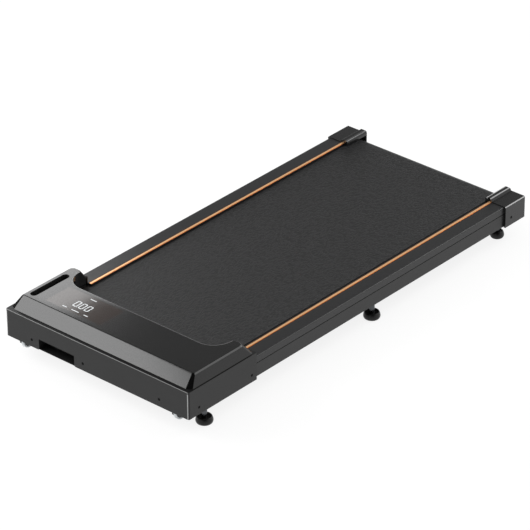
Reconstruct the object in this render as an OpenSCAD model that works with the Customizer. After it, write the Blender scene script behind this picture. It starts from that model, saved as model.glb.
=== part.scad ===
// Walking pad: a low motor head, a belt deck between two side rails and six levelling feet.
// +X is to the right and -Y towards the motor head. The floor is z = 0, and the origin lies
// under the middle of the machine. Lengths are in millimetres.

/* [Overall] */
// Length from the front of the motor base to the back of the rear end caps
overall_length = 1074; // [1040:1:1200]
// Width of the motor base, the widest piece
base_width = 500; // [496:1:540]
// Height of the underside above the floor
ground_clearance = 40; // [37:0.5:46]

/* [Motor base] */
// Depth of the motor base from front to back
base_depth = 201.5; // [198:0.5:230]
// Height of the motor base's sheet-metal walls
base_height = 62.3; // [58:0.1:75]
// Thickness of the base's sheet metal
base_sheet = 2; // [1.6:0.1:2.5]
// Outer radius of the base's upright front corners
base_corner_r = 4; // [3:0.5:8]
// Width of the rim that turns inwards along the top of the base
base_rim = 14; // [13:0.5:16]
// Thickness of the belly plate that closes the base from below
belly_sheet = 0.8; // [0.6:0.1:1.2]

/* [Motor cover] */
// Height of the cover above the base
cover_rise = 23.8; // [21:0.1:32]
// Wall thickness of the cover
cover_wall = 2.5; // [2.2:0.1:3]
// Ledge of the base that shows in front of the cover
cover_front_ledge = 9.6; // [6:0.1:10]
// Ledge of the base that shows beside the cover
cover_side_ledge = 3.5; // [2.5:0.1:6]
// Distance that the front slope leans back
cover_front_run = 24.6; // [18:0.1:26]
// Distance that the side slopes lean in, up to the shoulder
cover_side_run = 10; // [8:0.1:10.5]
// Width of the shoulder, the bevel along the top of the cover's sides
cover_shoulder = 3.3; // [2.6:0.1:3.6]
// Distance that the ends of the arms lean forwards
cover_rear_run = 18; // [10:0.1:24]
// Width of the cut corners of the cover along its front
cover_corner_cut = 11.5; // [8:0.1:14]
// Radius of the outer corners at the back of the arms
arm_corner_r = 10; // [6:0.5:12]
// Depth of the bridge across the belt, from the front of the base
bridge_depth = 128.4; // [126:0.1:134]
// Radius of the inner corners between bridge and arms
bridge_corner_r = 45; // [30:1:50]
// Gap between the arms and the edges of a centred belt
arm_gap = 12.5; // [11.5:0.5:13]
// Thickness of the guard, the wall of the cover round the belt
guard_wall = 3; // [2.5:0.1:3.5]

/* [Storage slot] */
// Distance of the middle of the slot from the side of the base
slot_from_side = 32; // [31:0.5:34]
// Width of the slot
slot_width = 13.5; // [10:0.5:15]
// Length of the slot
slot_length = 105; // [80:1:108]
// Distance of the slot from the front of the base
slot_from_front = 45; // [42:0.5:48]
// Depth of the slot below the top of the cover
slot_depth = 41; // [30:0.5:42]
// Wall thickness of the slot's liner
liner_wall = 1.5; // [1.2:0.1:2]
// Width of the liner's rim, which lies flush in the top of the cover
liner_rim = 4.6; // [2.6:0.1:4.8]

/* [Display] */
// Distance of the middle of the display from the side of the base
display_from_side = 142.5; // [140:0.5:145]
// Width of the window
window_width = 151; // [130:1:156]
// Depth of the window from front to back
window_depth = 71; // [66:0.5:73]
// Distance of the window from the front of the base
window_from_front = 48; // [46:0.5:49]
// Thickness of the window
window_t = 1.5; // [1:0.1:1.6]
// Height of a digit
digit_height = 22; // [16:0.5:24]
// Width of a digit
digit_width = 11.5; // [9:0.5:12]
// Distance from one digit to the next
digit_pitch = 15.5; // [15:0.5:18]
// Width of the lit strokes
digit_stroke = 2.4; // [1.6:0.1:2.6]

/* [Power recess] */
// Distance of the middle of the recess from the side of the base
recess_from_side = 141; // [134:1:146]
// Width of the recess
recess_width = 98; // [96:1:110]
// Height of the recess above the underside
recess_height = 25; // [24.5:0.1:28]
// Thickness of the recess's floor
recess_floor = 1.2; // [0.8:0.1:1.4]
// Depth of the recess behind the front of the base
recess_depth = 26; // [22:0.5:30]

/* [Frame and rails] */
// Width of the square tubes under the rails
tube_width = 30; // [28:0.5:32]
// Height of the tubes
tube_height = 30; // [28:0.5:32]
// Wall thickness of the tubes
tube_wall = 1.5; // [1.2:0.1:2]
// Distance that the rails stand in from the sides of the base
rail_inset = 7; // [6:0.5:8]
// Width of a side rail
rail_width = 42; // [41:0.5:43]
// Height of a side rail
rail_height = 17; // [16.5:0.1:22]
// Width of the accent strip
strip_width = 6.5; // [5:0.5:7]
// Distance of the accent strip from the inner edge of the rail
strip_margin = 1.3; // [0.8:0.1:2]
// Number of cross tubes inside the belt loop
cross_count = 4; // [3:1:5]
// Width of a cross tube
cross_width = 30; // [25:1:40]
// Height of a cross tube
cross_height = 17.5; // [14:0.5:18]

/* [Belt and deck] */
// Gap between each rail and the edge of a centred belt
belt_gap = 5.5; // [5.5:0.5:12]
// Distance that the belt runs to the left of the middle of the machine
belt_shift = 4; // [0:0.5:5]
// Thickness of the walking belt
belt_t = 1.8; // [1.4:0.1:2]
// Distance of the belt's surface below the top of the rails
belt_drop = 3.9; // [3.5:0.1:5]
// Thickness of the deck board
deck_t = 15; // [12:0.5:15.5]
// Thickness of the cushions under the deck board
cushion_t = 3; // [2:0.5:3.5]
// Radius of the rollers
roller_r = 19; // [18:0.1:19.5]
// Wall thickness of the roller tubes
roller_wall = 2.5; // [2:0.1:3]
// Radius of the roller axles
axle_r = 6; // [5:0.1:6.2]
// Distance of the front axle from the front of the machine
front_axle_from_front = 110; // [108:0.5:112]
// Distance of the rear axle from the back of the machine
rear_axle_from_back = 30.4; // [29:0.1:33]

/* [Rear end caps] */
// Length of an end cap
cap_length = 66.4; // [64:0.1:80]
// Distance that a cap stands out beyond the side of the rail
cap_overhang = 5; // [4:0.1:6.5]
// Height of a cap above the top of the rail
cap_lift = 2; // [1.8:0.1:4]
// Distance from the inner edge of the rail to the inner face of the cap
cap_reach = 9; // [8:0.5:12]
// Height of the ridge above the cap
ridge_height = 6.6; // [6:0.1:10]
// Width of the ridge's top
ridge_width = 14.5; // [13:0.5:16]
// Width of the slope from the ridge's top down to the cap
ridge_slope = 4.5; // [3:0.5:7]
// Radius of the ridge's inner edge
ridge_r = 7; // [5:0.5:8]
// Wall thickness of a cap
cap_wall = 2.5; // [2.2:0.1:3]

/* [Levelling feet] */
// Largest diameter of a foot's rubber pad
pad_diameter = 36.5; // [32:0.5:36.5]
// Largest diameter of a rear foot's rubber pad
rear_pad_diameter = 31; // [29:0.5:36]
// Height of a foot's rubber pad
pad_height = 15; // [12:0.5:16]
// Radius of a foot's stud
stud_r = 6; // [5:0.5:6]
// Distance that each foot screws in or out from where it stands
foot_travel = 8; // [5:1:9]
// Distance of the front feet from the side of the base
front_foot_from_side = 16.5; // [16:0.5:20]
// Distance of the middle feet from the side of the base
middle_foot_from_side = 23; // [21:0.5:24]
// Distance of the rear feet from the side of the base
rear_foot_from_side = 35.5; // [33:0.5:35.5]
// Distance of the front feet from the front of the machine
front_foot_at = 63; // [61:0.5:70]
// Distance of the middle feet from the front of the machine
middle_foot_at = 588; // [500:1:640]
// Distance of the rear feet from the back of the machine
rear_foot_from_back = 51; // [50:0.5:51.5]

/* [Transport wheels] */
// Diameter of a transport wheel
wheel_diameter = 34; // [30:1:35]
// Width of a transport wheel
wheel_width = 9; // [8:0.5:14]
// Distance of the wheels from the side of the base
wheel_from_side = 41; // [38:0.5:44]
// Distance of the wheel axles from the front of the machine
wheel_from_front = 20.5; // [20.5:0.5:24]
// Height of the wheel axles above the floor
wheel_axle_height = 36; // [34.5:0.5:39]

/* [Drive] */
// Radius of the motor can
motor_r = 33; // [30:0.5:34]
// Length of the motor can
motor_length = 110; // [90:1:120]
// Distance of the motor's axis from the front of the machine
motor_from_front = 49; // [47:0.5:50]
// Wall thickness of the motor can
motor_wall = 3; // [2:0.5:4]
// Radius of the motor shaft
shaft_r = 5; // [4:0.5:6]
// Radius of the pulley on the motor shaft
motor_pulley_r = 8; // [7:0.5:9]
// Radius of the pulley on the front roller
roller_pulley_r = 18; // [16:0.5:18]
// Width of the ribbed drive belt's pulleys
pulley_width = 12; // [10:0.5:12.5]
// Thickness of the drive belt
drive_belt_t = 2.6; // [2:0.1:3]

/* [Hidden] */
$fn = 72;

// Clearances: between bodies that move, in a running fit and in a fixed fit
gap = 0.3;
run = 0.05;
snug = 0.1;
// Overlap that joins two shapes of one solid, and the reach of a cut past a face
bite = 0.5;
past = 5;

// Heights
under_z = ground_clearance;
plate_z = under_z + belly_sheet;
base_top = under_z + base_height;
cover_top = base_top + cover_rise;
tube_top = plate_z + tube_height;
rail_top = tube_top + rail_height;
belt_top = rail_top - belt_drop;
deck_top = belt_top - belt_t;
deck_bottom = deck_top - deck_t;
cross_top = deck_bottom - cushion_t;
belt_inner_r = roller_r + gap;
axle_z = deck_top - belt_inner_r;
belt_clear = 1.1;
skirt_z = belt_top + belt_clear;

// Places along the machine
front_y = -overall_length / 2;
rear_y = overall_length / 2;
base_rear_y = front_y + base_depth;
front_axle_y = front_y + front_axle_from_front;
rear_axle_y = rear_y - rear_axle_from_back;
bridge_y = front_y + bridge_depth;
cap_front_y = rear_y - cap_length;
rail_end_y = cap_front_y + 5.7;
tube_front_y = front_y + 45;
deck_front_y = front_axle_y + roller_r + 9;
deck_rear_y = rail_end_y - 6;

// Places across the machine
half_base = base_width / 2;
slot_x = -half_base + slot_from_side;
rail_out = half_base - rail_inset;
rail_in = rail_out - rail_width;
tube_in = rail_out - tube_width;
half_belt = rail_in - belt_gap;
arm_x = half_belt + arm_gap;
cover_corner_lean = 4.5;
cover_corner_turn = 0.64;
cap_out = rail_out + cap_overhang;
cap_in = rail_in - cap_reach;
half_deck = tube_in - 2;
roller_end = half_belt + belt_shift + 1.5;

// Screws with a countersunk head
screw_r = 2;
screw_head_r = 3.2;
screw_head_h = 1.4;
deck_screw_r = 3;
deck_screw_head_r = 5.4;
deck_screw_head_h = 3;
front_screws_x = [-half_base + 72, -half_base + 214, half_base - 79];
screw_hole_depth = 14;
side_screw_z = under_z + 16.4;
side_screws_from_front = [30.5, 187];
cap_screw_y = rear_y - 46.5;
cap_screw_z = under_z + 17.4;

// Rear roller bracket
bracket_sheet = 3;
bracket_in = rail_in + 4;
bracket_rear_y = rear_axle_y + 17.4;
bracket_top = axle_z + axle_r + 7;
slot_play = 5;
bolt_r = 3;
bolt_head_r = 5;
bolt_head_h = 5;
bolt_x = (bracket_in + rail_out) / 2;

// Bearings and pulleys of the rollers
bearing_w = 10;
bearing_inset = 3;
pulley_x0 = roller_end + 1;
pulley_x1 = min(pulley_x0 + pulley_width, tube_in - 1);
rib_count = 4;
rib_depth = 1.2;

// Cross tubes, evenly spread below the deck
cross_first_y = deck_front_y + cross_width / 2 + 4;
cross_last_y = deck_rear_y - cross_width / 2 - 10;
cross_ys = [for (i = [0 : cross_count - 1])
    cross_first_y + i * (cross_last_y - cross_first_y) / (cross_count - 1)];
cushion_x = 100;
cushion_size = [46, 24];
deck_screw_x = tube_in - 8;

// Motor and drive
motor_y = front_y + motor_from_front;
saddle_t = 4;
motor_z = plate_z + saddle_t + motor_r;
motor_gap = 30;
motor_x1 = pulley_x0 - motor_gap;
motor_x0 = motor_x1 - motor_length;
bell_t = 7;
bell_lip = 3;
fan_t = 6;
fan_gap = 4;
armature_margin = 14;
armature_r = motor_r - motor_wall - 5;
commutator_w = 14;

// Feet: two rows of places, front, middle, rear
foot_offsets = [for (d = [front_foot_from_side, middle_foot_from_side, rear_foot_from_side]) half_base - d];
foot_ys = [front_y + front_foot_at, front_y + middle_foot_at, rear_y - rear_foot_from_back];
stud_seat_z = 3;
boss_wall = 3;
boss_h = 8;
stud_top_z = plate_z + boss_h + foot_travel + 1;

// Transport wheels
wheel_r = wheel_diameter / 2;
wheel_offset = half_base - wheel_from_side;
wheel_y = front_y + wheel_from_front;
wheel_axle_r = 4;
ear_t = 2;
ear_gap = 2;
ear_drop = 8;
ear_front_y = front_y + 5;
ear_in = wheel_offset - wheel_width / 2 - ear_gap - ear_t;
ear_out = wheel_offset + wheel_width / 2 + ear_gap;
wheel_plate_z = max(wheel_axle_height + wheel_r, side_screw_z) + 5;

// Power recess, its panel and what is set in it
recess_x = -half_base + recess_from_side;
recess_top = under_z + recess_height;
panel_t = 2;
panel_y = front_y + recess_depth;
panel_mid_z = (plate_z + recess_top) / 2;
inlet_x = recess_x - 28;
inlet_size = [27, 19.5];
inlet_flange = [31, 22.5];
inlet_cavity = [24, 16.5];
inlet_cavity_depth = 16;
inlet_body_depth = 18;
pin_size = [4, 2];
pin_recess = 5.5;
switch_x = recess_x + 6;
switch_size = [19, 13];
switch_flange = [22, 16.5];
rocker_size = [15, 9.5];
rocker_tilt = 9;
breaker_x = recess_x + 33;
breaker_r = 6;
button_r = 3;
button_out = 3;

// Control board
board_size = [56, 50, 1.6];
board_x = motor_x0 - bell_t - fan_gap - fan_t - 3 - board_size[0];
board_y = panel_y + panel_t + 3;
standoff_h = 6;
standoff_inset = 5;
cap_can_r = 10;
cap_can_h = 26;

// Display
display_x = -half_base + display_from_side;
window_y = front_y + window_from_front;
window_ledge = 4;
pcb_t = 1.6;

// Puts a shape drawn across (x) and up (z) between two places along the machine
module along_y(y0, y1) {
    translate([0, y1, 0]) rotate([90, 0, 0]) linear_extrude(y1 - y0) children();
}

// Puts a shape drawn along (y) and up (z) between two places across the machine
module along_x(x0, x1) {
    translate([x0, 0, 0]) rotate([90, 0, 90]) linear_extrude(x1 - x0) children();
}

// Round bar from x0 to x1 around the axis at (y, z)
module bar_x(r, x0, x1, y, z) {
    translate([x0, y, z]) rotate([0, 90, 0]) cylinder(r = r, h = x1 - x0);
}

// Round bar from y0 to y1 around the axis at (x, z)
module bar_y(r, y0, y1, x, z) {
    translate([x, y0, z]) rotate([-90, 0, 0]) cylinder(r = r, h = y1 - y0);
}

// Tube from x0 to x1 around the axis at (y, z)
module ring_x(r_out, r_in, x0, x1, y, z) {
    difference() {
        bar_x(r_out, x0, x1, y, z);
        bar_x(r_in, x0 - past, x1 + past, y, z);
    }
}

// Box between two corners
module block(low, high) {
    translate(low) cube(high - low);
}

// Draws what is made for the right side on the side that is asked for, +1 or -1
module on_side(side) {
    mirror([side < 0 ? 1 : 0, 0, 0]) children();
}

// Both sides at once
module both_sides() {
    on_side(1) children();
    on_side(-1) children();
}

// Countersunk screw whose head lies flush at the origin, its shaft along -Z
module countersunk(r, head_r, head_h, length, grow) {
    translate([0, 0, -head_h - grow]) cylinder(r1 = r + grow, r2 = head_r + grow, h = head_h + grow);
    translate([0, 0, -length]) cylinder(r = r + grow, h = length - head_h);
}

// Hole of a housing screw, open past the face that the head lies flush with
module screw_hole() {
    countersunk(screw_r, screw_head_r, screw_head_h, screw_hole_depth, snug);
    translate([0, 0, -bite / 10]) cylinder(r = screw_head_r + snug, h = past);
}

// The places of the housing screws, each with its head outwards
module at_front_screws() {
    for (x = front_screws_x)
        translate([x, front_y, side_screw_z]) rotate([90, 0, 0]) children();
}

module at_side_screw(i) {
    both_sides()
        translate([half_base, front_y + side_screws_from_front[i], side_screw_z])
            rotate([0, 90, 0]) children();
}

module at_cap_screws() {
    both_sides() translate([cap_out, cap_screw_y, cap_screw_z]) rotate([0, 90, 0]) children();
}

// Outline of the base seen from above: round front corners
module base_plan(inset) {
    r = max(base_corner_r - inset, 0.5);
    x = half_base - inset;
    y = front_y + inset;
    difference() {
        translate([-x, y]) square([2 * x, base_rear_y - y]);
        for (s = [-1, 1])
            translate([s * x, y]) square(2 * r, center = true);
    }
    for (s = [-1, 1])
        translate([s * (x - r), y + r]) circle(r);
}

// Opening of the power recess in the front wall, flared at its lower corners
module recess_front(grow) {
    x0 = recess_x - recess_width / 2 - grow;
    x1 = recess_x + recess_width / 2 + grow;
    flare = 3;
    polygon([
        [x0, recess_top + grow], [x1, recess_top + grow], [x1, under_z + flare],
        [x1 + flare, under_z - 1], [x0 - flare, under_z - 1], [x0, under_z + flare]
    ]);
}

module base_housing() {
    color("#383838")
    difference() {
        union() {
            // Upright walls and the rim on top of them
            difference() {
                translate([0, 0, under_z]) linear_extrude(base_height) base_plan(0);
                translate([0, 0, under_z - 1]) linear_extrude(base_height - base_sheet + 1)
                    base_plan(base_sheet);
                translate([0, 0, under_z - 1]) linear_extrude(base_height + 2) base_plan(base_rim);
                block([-tube_in, base_rear_y - base_rim - 1, under_z - 1],
                      [tube_in, base_rear_y + 1, base_top + 1]);
            }
            // Walls that close the corners behind the arms, round the frame tubes
            both_sides() difference() {
                block([tube_in - 1, base_rear_y - base_sheet, under_z],
                      [half_base, base_rear_y, base_top]);
                block([tube_in - 2, base_rear_y - base_sheet - 1, under_z - 1],
                      [rail_out + snug, base_rear_y + 1, tube_top + snug]);
                // The lower back corner of the side wall is cut at an angle
                translate([half_base, base_rear_y, under_z]) rotate([0, 0, 45])
                    cube([3, 3, 2 * belly_sheet], center = true);
            }
            // Bosses that carry the base on the frame tubes
            intersection() {
                at_side_screw(1) translate([0, 0, -rail_inset]) cylinder(r = 6, h = rail_inset);
                block([-half_base, front_y, under_z], [half_base, base_rear_y, base_top]);
            }
        }
        along_y(front_y - past, front_y + base_sheet + past) recess_front(0);
        at_front_screws() screw_hole();
        for (i = [0, 1])
            at_side_screw(i) screw_hole();
    }
}

module belly_plate() {
    color("#2c2c2c")
    difference() {
        union() {
            difference() {
                translate([0, 0, under_z]) linear_extrude(belly_sheet) base_plan(base_sheet);
                both_sides()
                    block([tube_in - 1, base_rear_y - base_sheet, under_z - 1],
                          [half_base, base_rear_y + 1, plate_z + 1]);
            }
            // Lip that stands behind the front wall and takes its screws
            block([-half_base + 2 * base_corner_r, front_y + base_sheet, under_z],
                  [half_base - 2 * base_corner_r, front_y + base_sheet + belly_sheet, side_screw_z + 8]);
            // Standoffs of the control board
            for (x = [standoff_inset, board_size[0] - standoff_inset])
                for (y = [standoff_inset, board_size[1] - standoff_inset])
                    translate([board_x + x, board_y + y, under_z])
                        cylinder(r = 3, h = belly_sheet + standoff_h);
        }
        // Opening below the power recess
        along_y(front_y, front_y + base_sheet + 2 * belly_sheet) recess_front(panel_t + snug);
        block([recess_x - recess_width / 2 - panel_t - snug, front_y, under_z - 1],
              [recess_x + recess_width / 2 + panel_t + snug, panel_y + panel_t + snug, plate_z + 1]);
        // Openings for the wheels and the front feet
        both_sides() block([ear_in - 3, wheel_y - wheel_r - 1.5, under_z - 1],
                           [ear_out + ear_t + 3, wheel_y + wheel_r + 1.5, plate_z + 1]);
        both_sides() translate([foot_offsets[0], foot_ys[0], under_z - 1])
            cylinder(r = stud_r + 1.5, h = belly_sheet + 2);
        at_front_screws() translate([0, 0, -past - base_sheet])
            cylinder(r = screw_r + snug, h = 2 * past);
    }
}

function arc(x, y, r, from, to, steps) =
    [for (i = [0 : steps]) let (a = from + (to - from) * i / steps) [x + r * cos(a), y + r * sin(a)]];

// Outline of the cover at a share of its height, 0 at its foot and 1 at its top, with its sides
// leant in by lean and all of it drawn in by a wall, anticlockwise
function cover_outline(level, lean, wall) =
    let (
        x = half_base - cover_side_ledge - lean - wall,
        y0 = front_y + cover_front_ledge + level * cover_front_run + wall,
        y1 = base_rear_y - cover_side_ledge - level * cover_rear_run - wall,
        corner_x = half_base - cover_side_ledge - cover_corner_cut - level * cover_corner_lean - 0.6 * wall,
        r = max(arm_corner_r - wall, 1)
    )
    concat(
        [[-corner_x, y0], [corner_x, y0], [x, y0 + cover_corner_turn * (x - corner_x)]],
        arc(x - r, y1 - r, r, 0, 90, 6),
        arc(-x + r, y1 - r, r, 90, 180, 6),
        [[-x, y0 + cover_corner_turn * (x - corner_x)]]
    );

// Solid through outlines with as many points each, one above the other
module lofted(outlines, heights) {
    n = len(outlines[0]);
    last = len(outlines) - 1;
    polyhedron(
        points = [for (k = [0 : last]) for (p = outlines[k]) [p[0], p[1], heights[k]]],
        faces = concat(
            [[for (i = [0 : n - 1]) i]],
            [[for (i = [0 : n - 1]) (last + 1) * n - 1 - i]],
            [for (k = [0 : last - 1]) for (i = [0 : n - 1]) let (a = k * n, j = (i + 1) % n)
                [a + i, a + n + i, a + n + j]],
            [for (k = [0 : last - 1]) for (i = [0 : n - 1]) let (a = k * n, j = (i + 1) % n)
                [a + i, a + n + j, a + j]]
        )
    );
}

// The cover as a full block: sloped walls up to the shoulder, the shoulder's bevel above them
module cover_block(wall) {
    shoulder_z = cover_top - cover_shoulder - 0.4 * wall;
    lofted(
        [
            cover_outline(0, 0, wall),
            cover_outline((cover_rise - cover_shoulder) / cover_rise, cover_side_run, wall),
            cover_outline(1, cover_side_run + cover_shoulder, wall)
        ],
        [base_top - 0.01 * sign(wall), shoulder_z, cover_top - wall]
    );
}

// Space between the arms seen from above: the bridge in front, a round inner corner at each arm
module notch_plan(grow) {
    x = arm_x + grow;
    r = bridge_corner_r + grow;
    y = bridge_y - grow;
    back = base_rear_y + past;
    translate([-x, y + r]) square([2 * x, back - y - r]);
    translate([-x + r, y]) square([2 * (x - r), r + bite]);
    for (s = [-1, 1])
        translate([s * (x - r), y + r]) circle(r);
}

// Slot with round ends seen from above, wider by grow all round
module slot_plan(grow) {
    r = slot_width / 2;
    y0 = front_y + slot_from_front + r;
    y1 = y0 + slot_length - slot_width;
    for (y = [y0, y1])
        translate([slot_x, y]) circle(r + grow);
    translate([slot_x - r - grow, y0]) square([2 * (r + grow), y1 - y0]);
}

module motor_cover() {
    color("#4a4a4a")
    difference() {
        cover_block(0);
        cover_block(cover_wall);
        translate([0, 0, under_z]) linear_extrude(cover_top) notch_plan(guard_wall + snug);
        translate([0, 0, base_top]) linear_extrude(cover_rise + 1) slot_plan(liner_rim + snug);
        // Seat of the window and the opening inside it
        block([display_x - window_width / 2 - snug, window_y - snug, cover_top - window_t],
              [display_x + window_width / 2 + snug, window_y + window_depth + snug, cover_top + 1]);
        block([display_x - window_width / 2 + window_ledge, window_y + window_ledge, base_top],
              [display_x + window_width / 2 - window_ledge, window_y + window_depth - window_ledge,
               cover_top]);
    }
}

// Wall round the belt, from just above the belt up to the top of the cover
module belt_guard() {
    color("#4a4a4a")
    intersection() {
        translate([0, 0, skirt_z]) linear_extrude(cover_rise + base_height)
            difference() {
                notch_plan(guard_wall);
                notch_plan(0);
            }
        union() {
            cover_block(0);
            block([-half_base, front_y, under_z],
                  [half_base, base_rear_y - cover_side_ledge, base_top + 0.1]);
        }
    }
}

// One zero of seven-segment strokes, its lower left corner at the origin
module zero() {
    w = digit_width;
    h = digit_height;
    s = digit_stroke;
    nick = 0.5;
    for (y = [0, h - s])
        translate([s / 2 + nick, y]) square([w - s - 2 * nick, s]);
    for (x = [0, w - s])
        for (y = [s / 2 + nick, h / 2 + nick / 2])
            translate([x, y]) square([s, h / 2 - s / 2 - 1.5 * nick]);
}

// Everything that lights up: 0.00 and one short bar above it and three below, seen from above
module lit_marks() {
    total = 2 * digit_pitch + digit_width;
    digits_y = window_y + window_depth / 2 - digit_height / 2 - 4.5;
    for (i = [0 : 2])
        translate([display_x - total / 2 + i * digit_pitch, digits_y]) zero();
    translate([display_x - total / 2 + digit_width + (digit_pitch - digit_width) / 2 - 0.8, digits_y])
        square(1.6);
    bar_h = 2.4;
    above_y = window_y + window_depth - window_ledge - bar_h - 3.6;
    below_y = window_y + window_ledge + 2.5;
    translate([display_x - 8, above_y]) square([16, bar_h]);
    translate([display_x - 35, below_y]) square([12, bar_h]);
    translate([display_x - 10, below_y]) square([20, bar_h]);
    translate([display_x + 24, below_y]) square([11, bar_h]);
}

module display_window() {
    color("#5a5552")
    difference() {
        block([display_x - window_width / 2, window_y, cover_top - window_t],
              [display_x + window_width / 2, window_y + window_depth, cover_top]);
        translate([0, 0, cover_top - window_t - 1]) linear_extrude(window_t + 2) lit_marks();
    }
}

module display_board() {
    color("#1f5a3a")
    block([display_x - window_width / 2, window_y, cover_top - cover_wall - pcb_t],
          [display_x + window_width / 2, window_y + window_depth, cover_top - cover_wall]);
}

module display_digits() {
    color("white")
    translate([0, 0, cover_top - cover_wall]) linear_extrude(cover_wall) lit_marks();
}

// Cup of the storage slot: its rim lies flush in the cover, and a flange below the rim holds it there
module slot_liner() {
    flange = 1;
    flange_top = cover_top - cover_wall;
    liner_bottom = cover_top - slot_depth;
    color("#141414")
    difference() {
        union() {
            translate([0, 0, liner_bottom - liner_wall])
                linear_extrude(slot_depth + liner_wall) slot_plan(liner_wall);
            translate([0, 0, flange_top - liner_wall]) linear_extrude(liner_wall)
                slot_plan(liner_rim + flange);
            translate([0, 0, flange_top - bite]) linear_extrude(cover_wall + bite) slot_plan(liner_rim);
        }
        translate([0, 0, liner_bottom]) linear_extrude(slot_depth + 1) slot_plan(0);
    }
}

module inlet_panel() {
    x0 = recess_x - recess_width / 2;
    x1 = recess_x + recess_width / 2;
    front = front_y + base_sheet;
    color("#161616")
    difference() {
        block([x0 - panel_t, front, under_z], [x1 + panel_t, panel_y + panel_t, recess_top + panel_t]);
        block([x0, front - 1, under_z + recess_floor], [x1, panel_y, recess_top]);
        translate([inlet_x, panel_y + panel_t / 2, panel_mid_z])
            cube([inlet_size[0] + 2 * snug, 2 * panel_t, inlet_size[1] + 2 * snug], center = true);
        translate([switch_x, panel_y + panel_t / 2, panel_mid_z])
            cube([switch_size[0] + 2 * snug, 2 * panel_t, switch_size[1] + 2 * snug], center = true);
        bar_y(breaker_r + snug, panel_y - 1, panel_y + panel_t + 1, breaker_x, panel_mid_z);
    }
}

// Mains inlet: a flange in front of the panel, a hollow body behind it and three flat pins
module power_inlet() {
    flange_t = 2;
    front = panel_y - flange_t;
    color("#202020")
    translate([inlet_x, 0, panel_mid_z]) {
        difference() {
            union() {
                translate([-inlet_flange[0] / 2, front, -inlet_flange[1] / 2])
                    cube([inlet_flange[0], flange_t, inlet_flange[1]]);
                translate([-inlet_size[0] / 2, front + flange_t - bite, -inlet_size[1] / 2])
                    cube([inlet_size[0], inlet_body_depth, inlet_size[1]]);
            }
            translate([-inlet_cavity[0] / 2, front - 1, -inlet_cavity[1] / 2])
                cube([inlet_cavity[0], inlet_cavity_depth + 1, inlet_cavity[1]]);
        }
        for (p = [[-7, -1.5], [0, 3], [7, -1.5]])
            translate([p[0] - pin_size[1] / 2, front + pin_recess, p[1] - pin_size[0] / 2])
                cube([pin_size[1], inlet_cavity_depth - pin_recess + bite, pin_size[0]]);
    }
}

module switch_housing() {
    flange_t = 1.5;
    depth = 15;
    front = panel_y - flange_t;
    color("#242424")
    translate([switch_x, 0, panel_mid_z])
    difference() {
        union() {
            translate([-switch_flange[0] / 2, front, -switch_flange[1] / 2])
                cube([switch_flange[0], flange_t, switch_flange[1]]);
            translate([-switch_size[0] / 2, front + flange_t - bite, -switch_size[1] / 2])
                cube([switch_size[0], depth, switch_size[1]]);
        }
        translate([-rocker_size[0] / 2 - 1, front - 1, -rocker_size[1] / 2 - gap])
            cube([rocker_size[0] + 2, depth - 1, rocker_size[1] + 2 * gap]);
        // Bores for the rocker's pivot stubs
        translate([0, panel_y, -rocker_size[1] / 2 - 1.3])
            cylinder(r = 1.2 + run, h = rocker_size[1] + 2.6);
    }
}

// Rocker on an upright pivot, pressed in at one end
module power_rocker() {
    w = rocker_size[0] / 2;
    color("#3a3a3a")
    translate([switch_x, panel_y, panel_mid_z]) rotate([0, 0, rocker_tilt]) {
        translate([0, 0, -rocker_size[1] / 2]) linear_extrude(rocker_size[1])
            polygon([[-w, -4.2], [0, -2.8], [w, -4.2], [w - 0.6, 1.5], [3, 4.5], [-3, 4.5], [-w + 0.6, 1.5]]);
        translate([0, 0, -rocker_size[1] / 2 - 1]) cylinder(r = 1.2, h = rocker_size[1] + 2);
    }
}

module breaker_body() {
    nut_t = 2.5;
    color("#1c1c1c")
    difference() {
        union() {
            bar_y(breaker_r, panel_y - nut_t, panel_y + panel_t + 1, breaker_x, panel_mid_z);
            translate([breaker_x, panel_y, panel_mid_z]) rotate([90, 0, 0])
                cylinder(r = 9, h = nut_t, $fn = 6);
            block([breaker_x - 8, panel_y + panel_t, panel_mid_z - 10],
                  [breaker_x + 8, panel_y + panel_t + 22, panel_mid_z + 10]);
        }
        bar_y(button_r + run, panel_y - past, panel_y + panel_t + 14, breaker_x, panel_mid_z);
    }
}

module breaker_button() {
    color("#8c1f1f")
    bar_y(button_r, panel_y - 2.5 - button_out, panel_y + panel_t + 8, breaker_x, panel_mid_z);
}

// Control board with its capacitors, relay and terminal block
module control_board() {
    z = plate_z + standoff_h;
    top = z + board_size[2];
    color("#1f5a3a")
    union() {
        block([board_x, board_y, z], [board_x + board_size[0], board_y + board_size[1], top]);
        for (i = [0, 1])
            translate([board_x + 16 + i * 24, board_y + board_size[1] - cap_can_r - 2, top - bite])
                cylinder(r = cap_can_r, h = cap_can_h);
        block([board_x + 9, board_y + 8, top - bite], [board_x + 27, board_y + 22, top + 15]);
        block([board_x + 2, board_y + 6, top - bite], [board_x + 6, board_y + 24, top + 10]);
    }
}

// Heat sink with upright fins on the control board
module heat_sink() {
    z = plate_z + standoff_h + board_size[2];
    x0 = board_x + 30;
    sink_y1 = board_y + board_size[1] - 2 * cap_can_r - 4;
    fins = 5;
    pitch = 5.5;
    color("#b8bcc0")
    union() {
        block([x0, board_y + 4, z], [x0 + (fins - 1) * pitch + 2, sink_y1, z + 4]);
        for (i = [0 : fins - 1])
            block([x0 + i * pitch, board_y + 4, z], [x0 + i * pitch + 2, sink_y1, z + 24]);
    }
}

// Saddle that the motor lies in
module motor_bracket() {
    x0 = motor_x0 + 15;
    x1 = motor_x1 - 15;
    half = motor_r * 0.8;
    color("#303030")
    difference() {
        block([x0, motor_y - half, plate_z], [x1, motor_y + half, motor_z - motor_r * 0.55]);
        bar_x(motor_r + snug, x0 - past, x1 + past, motor_y, motor_z);
    }
}

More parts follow.
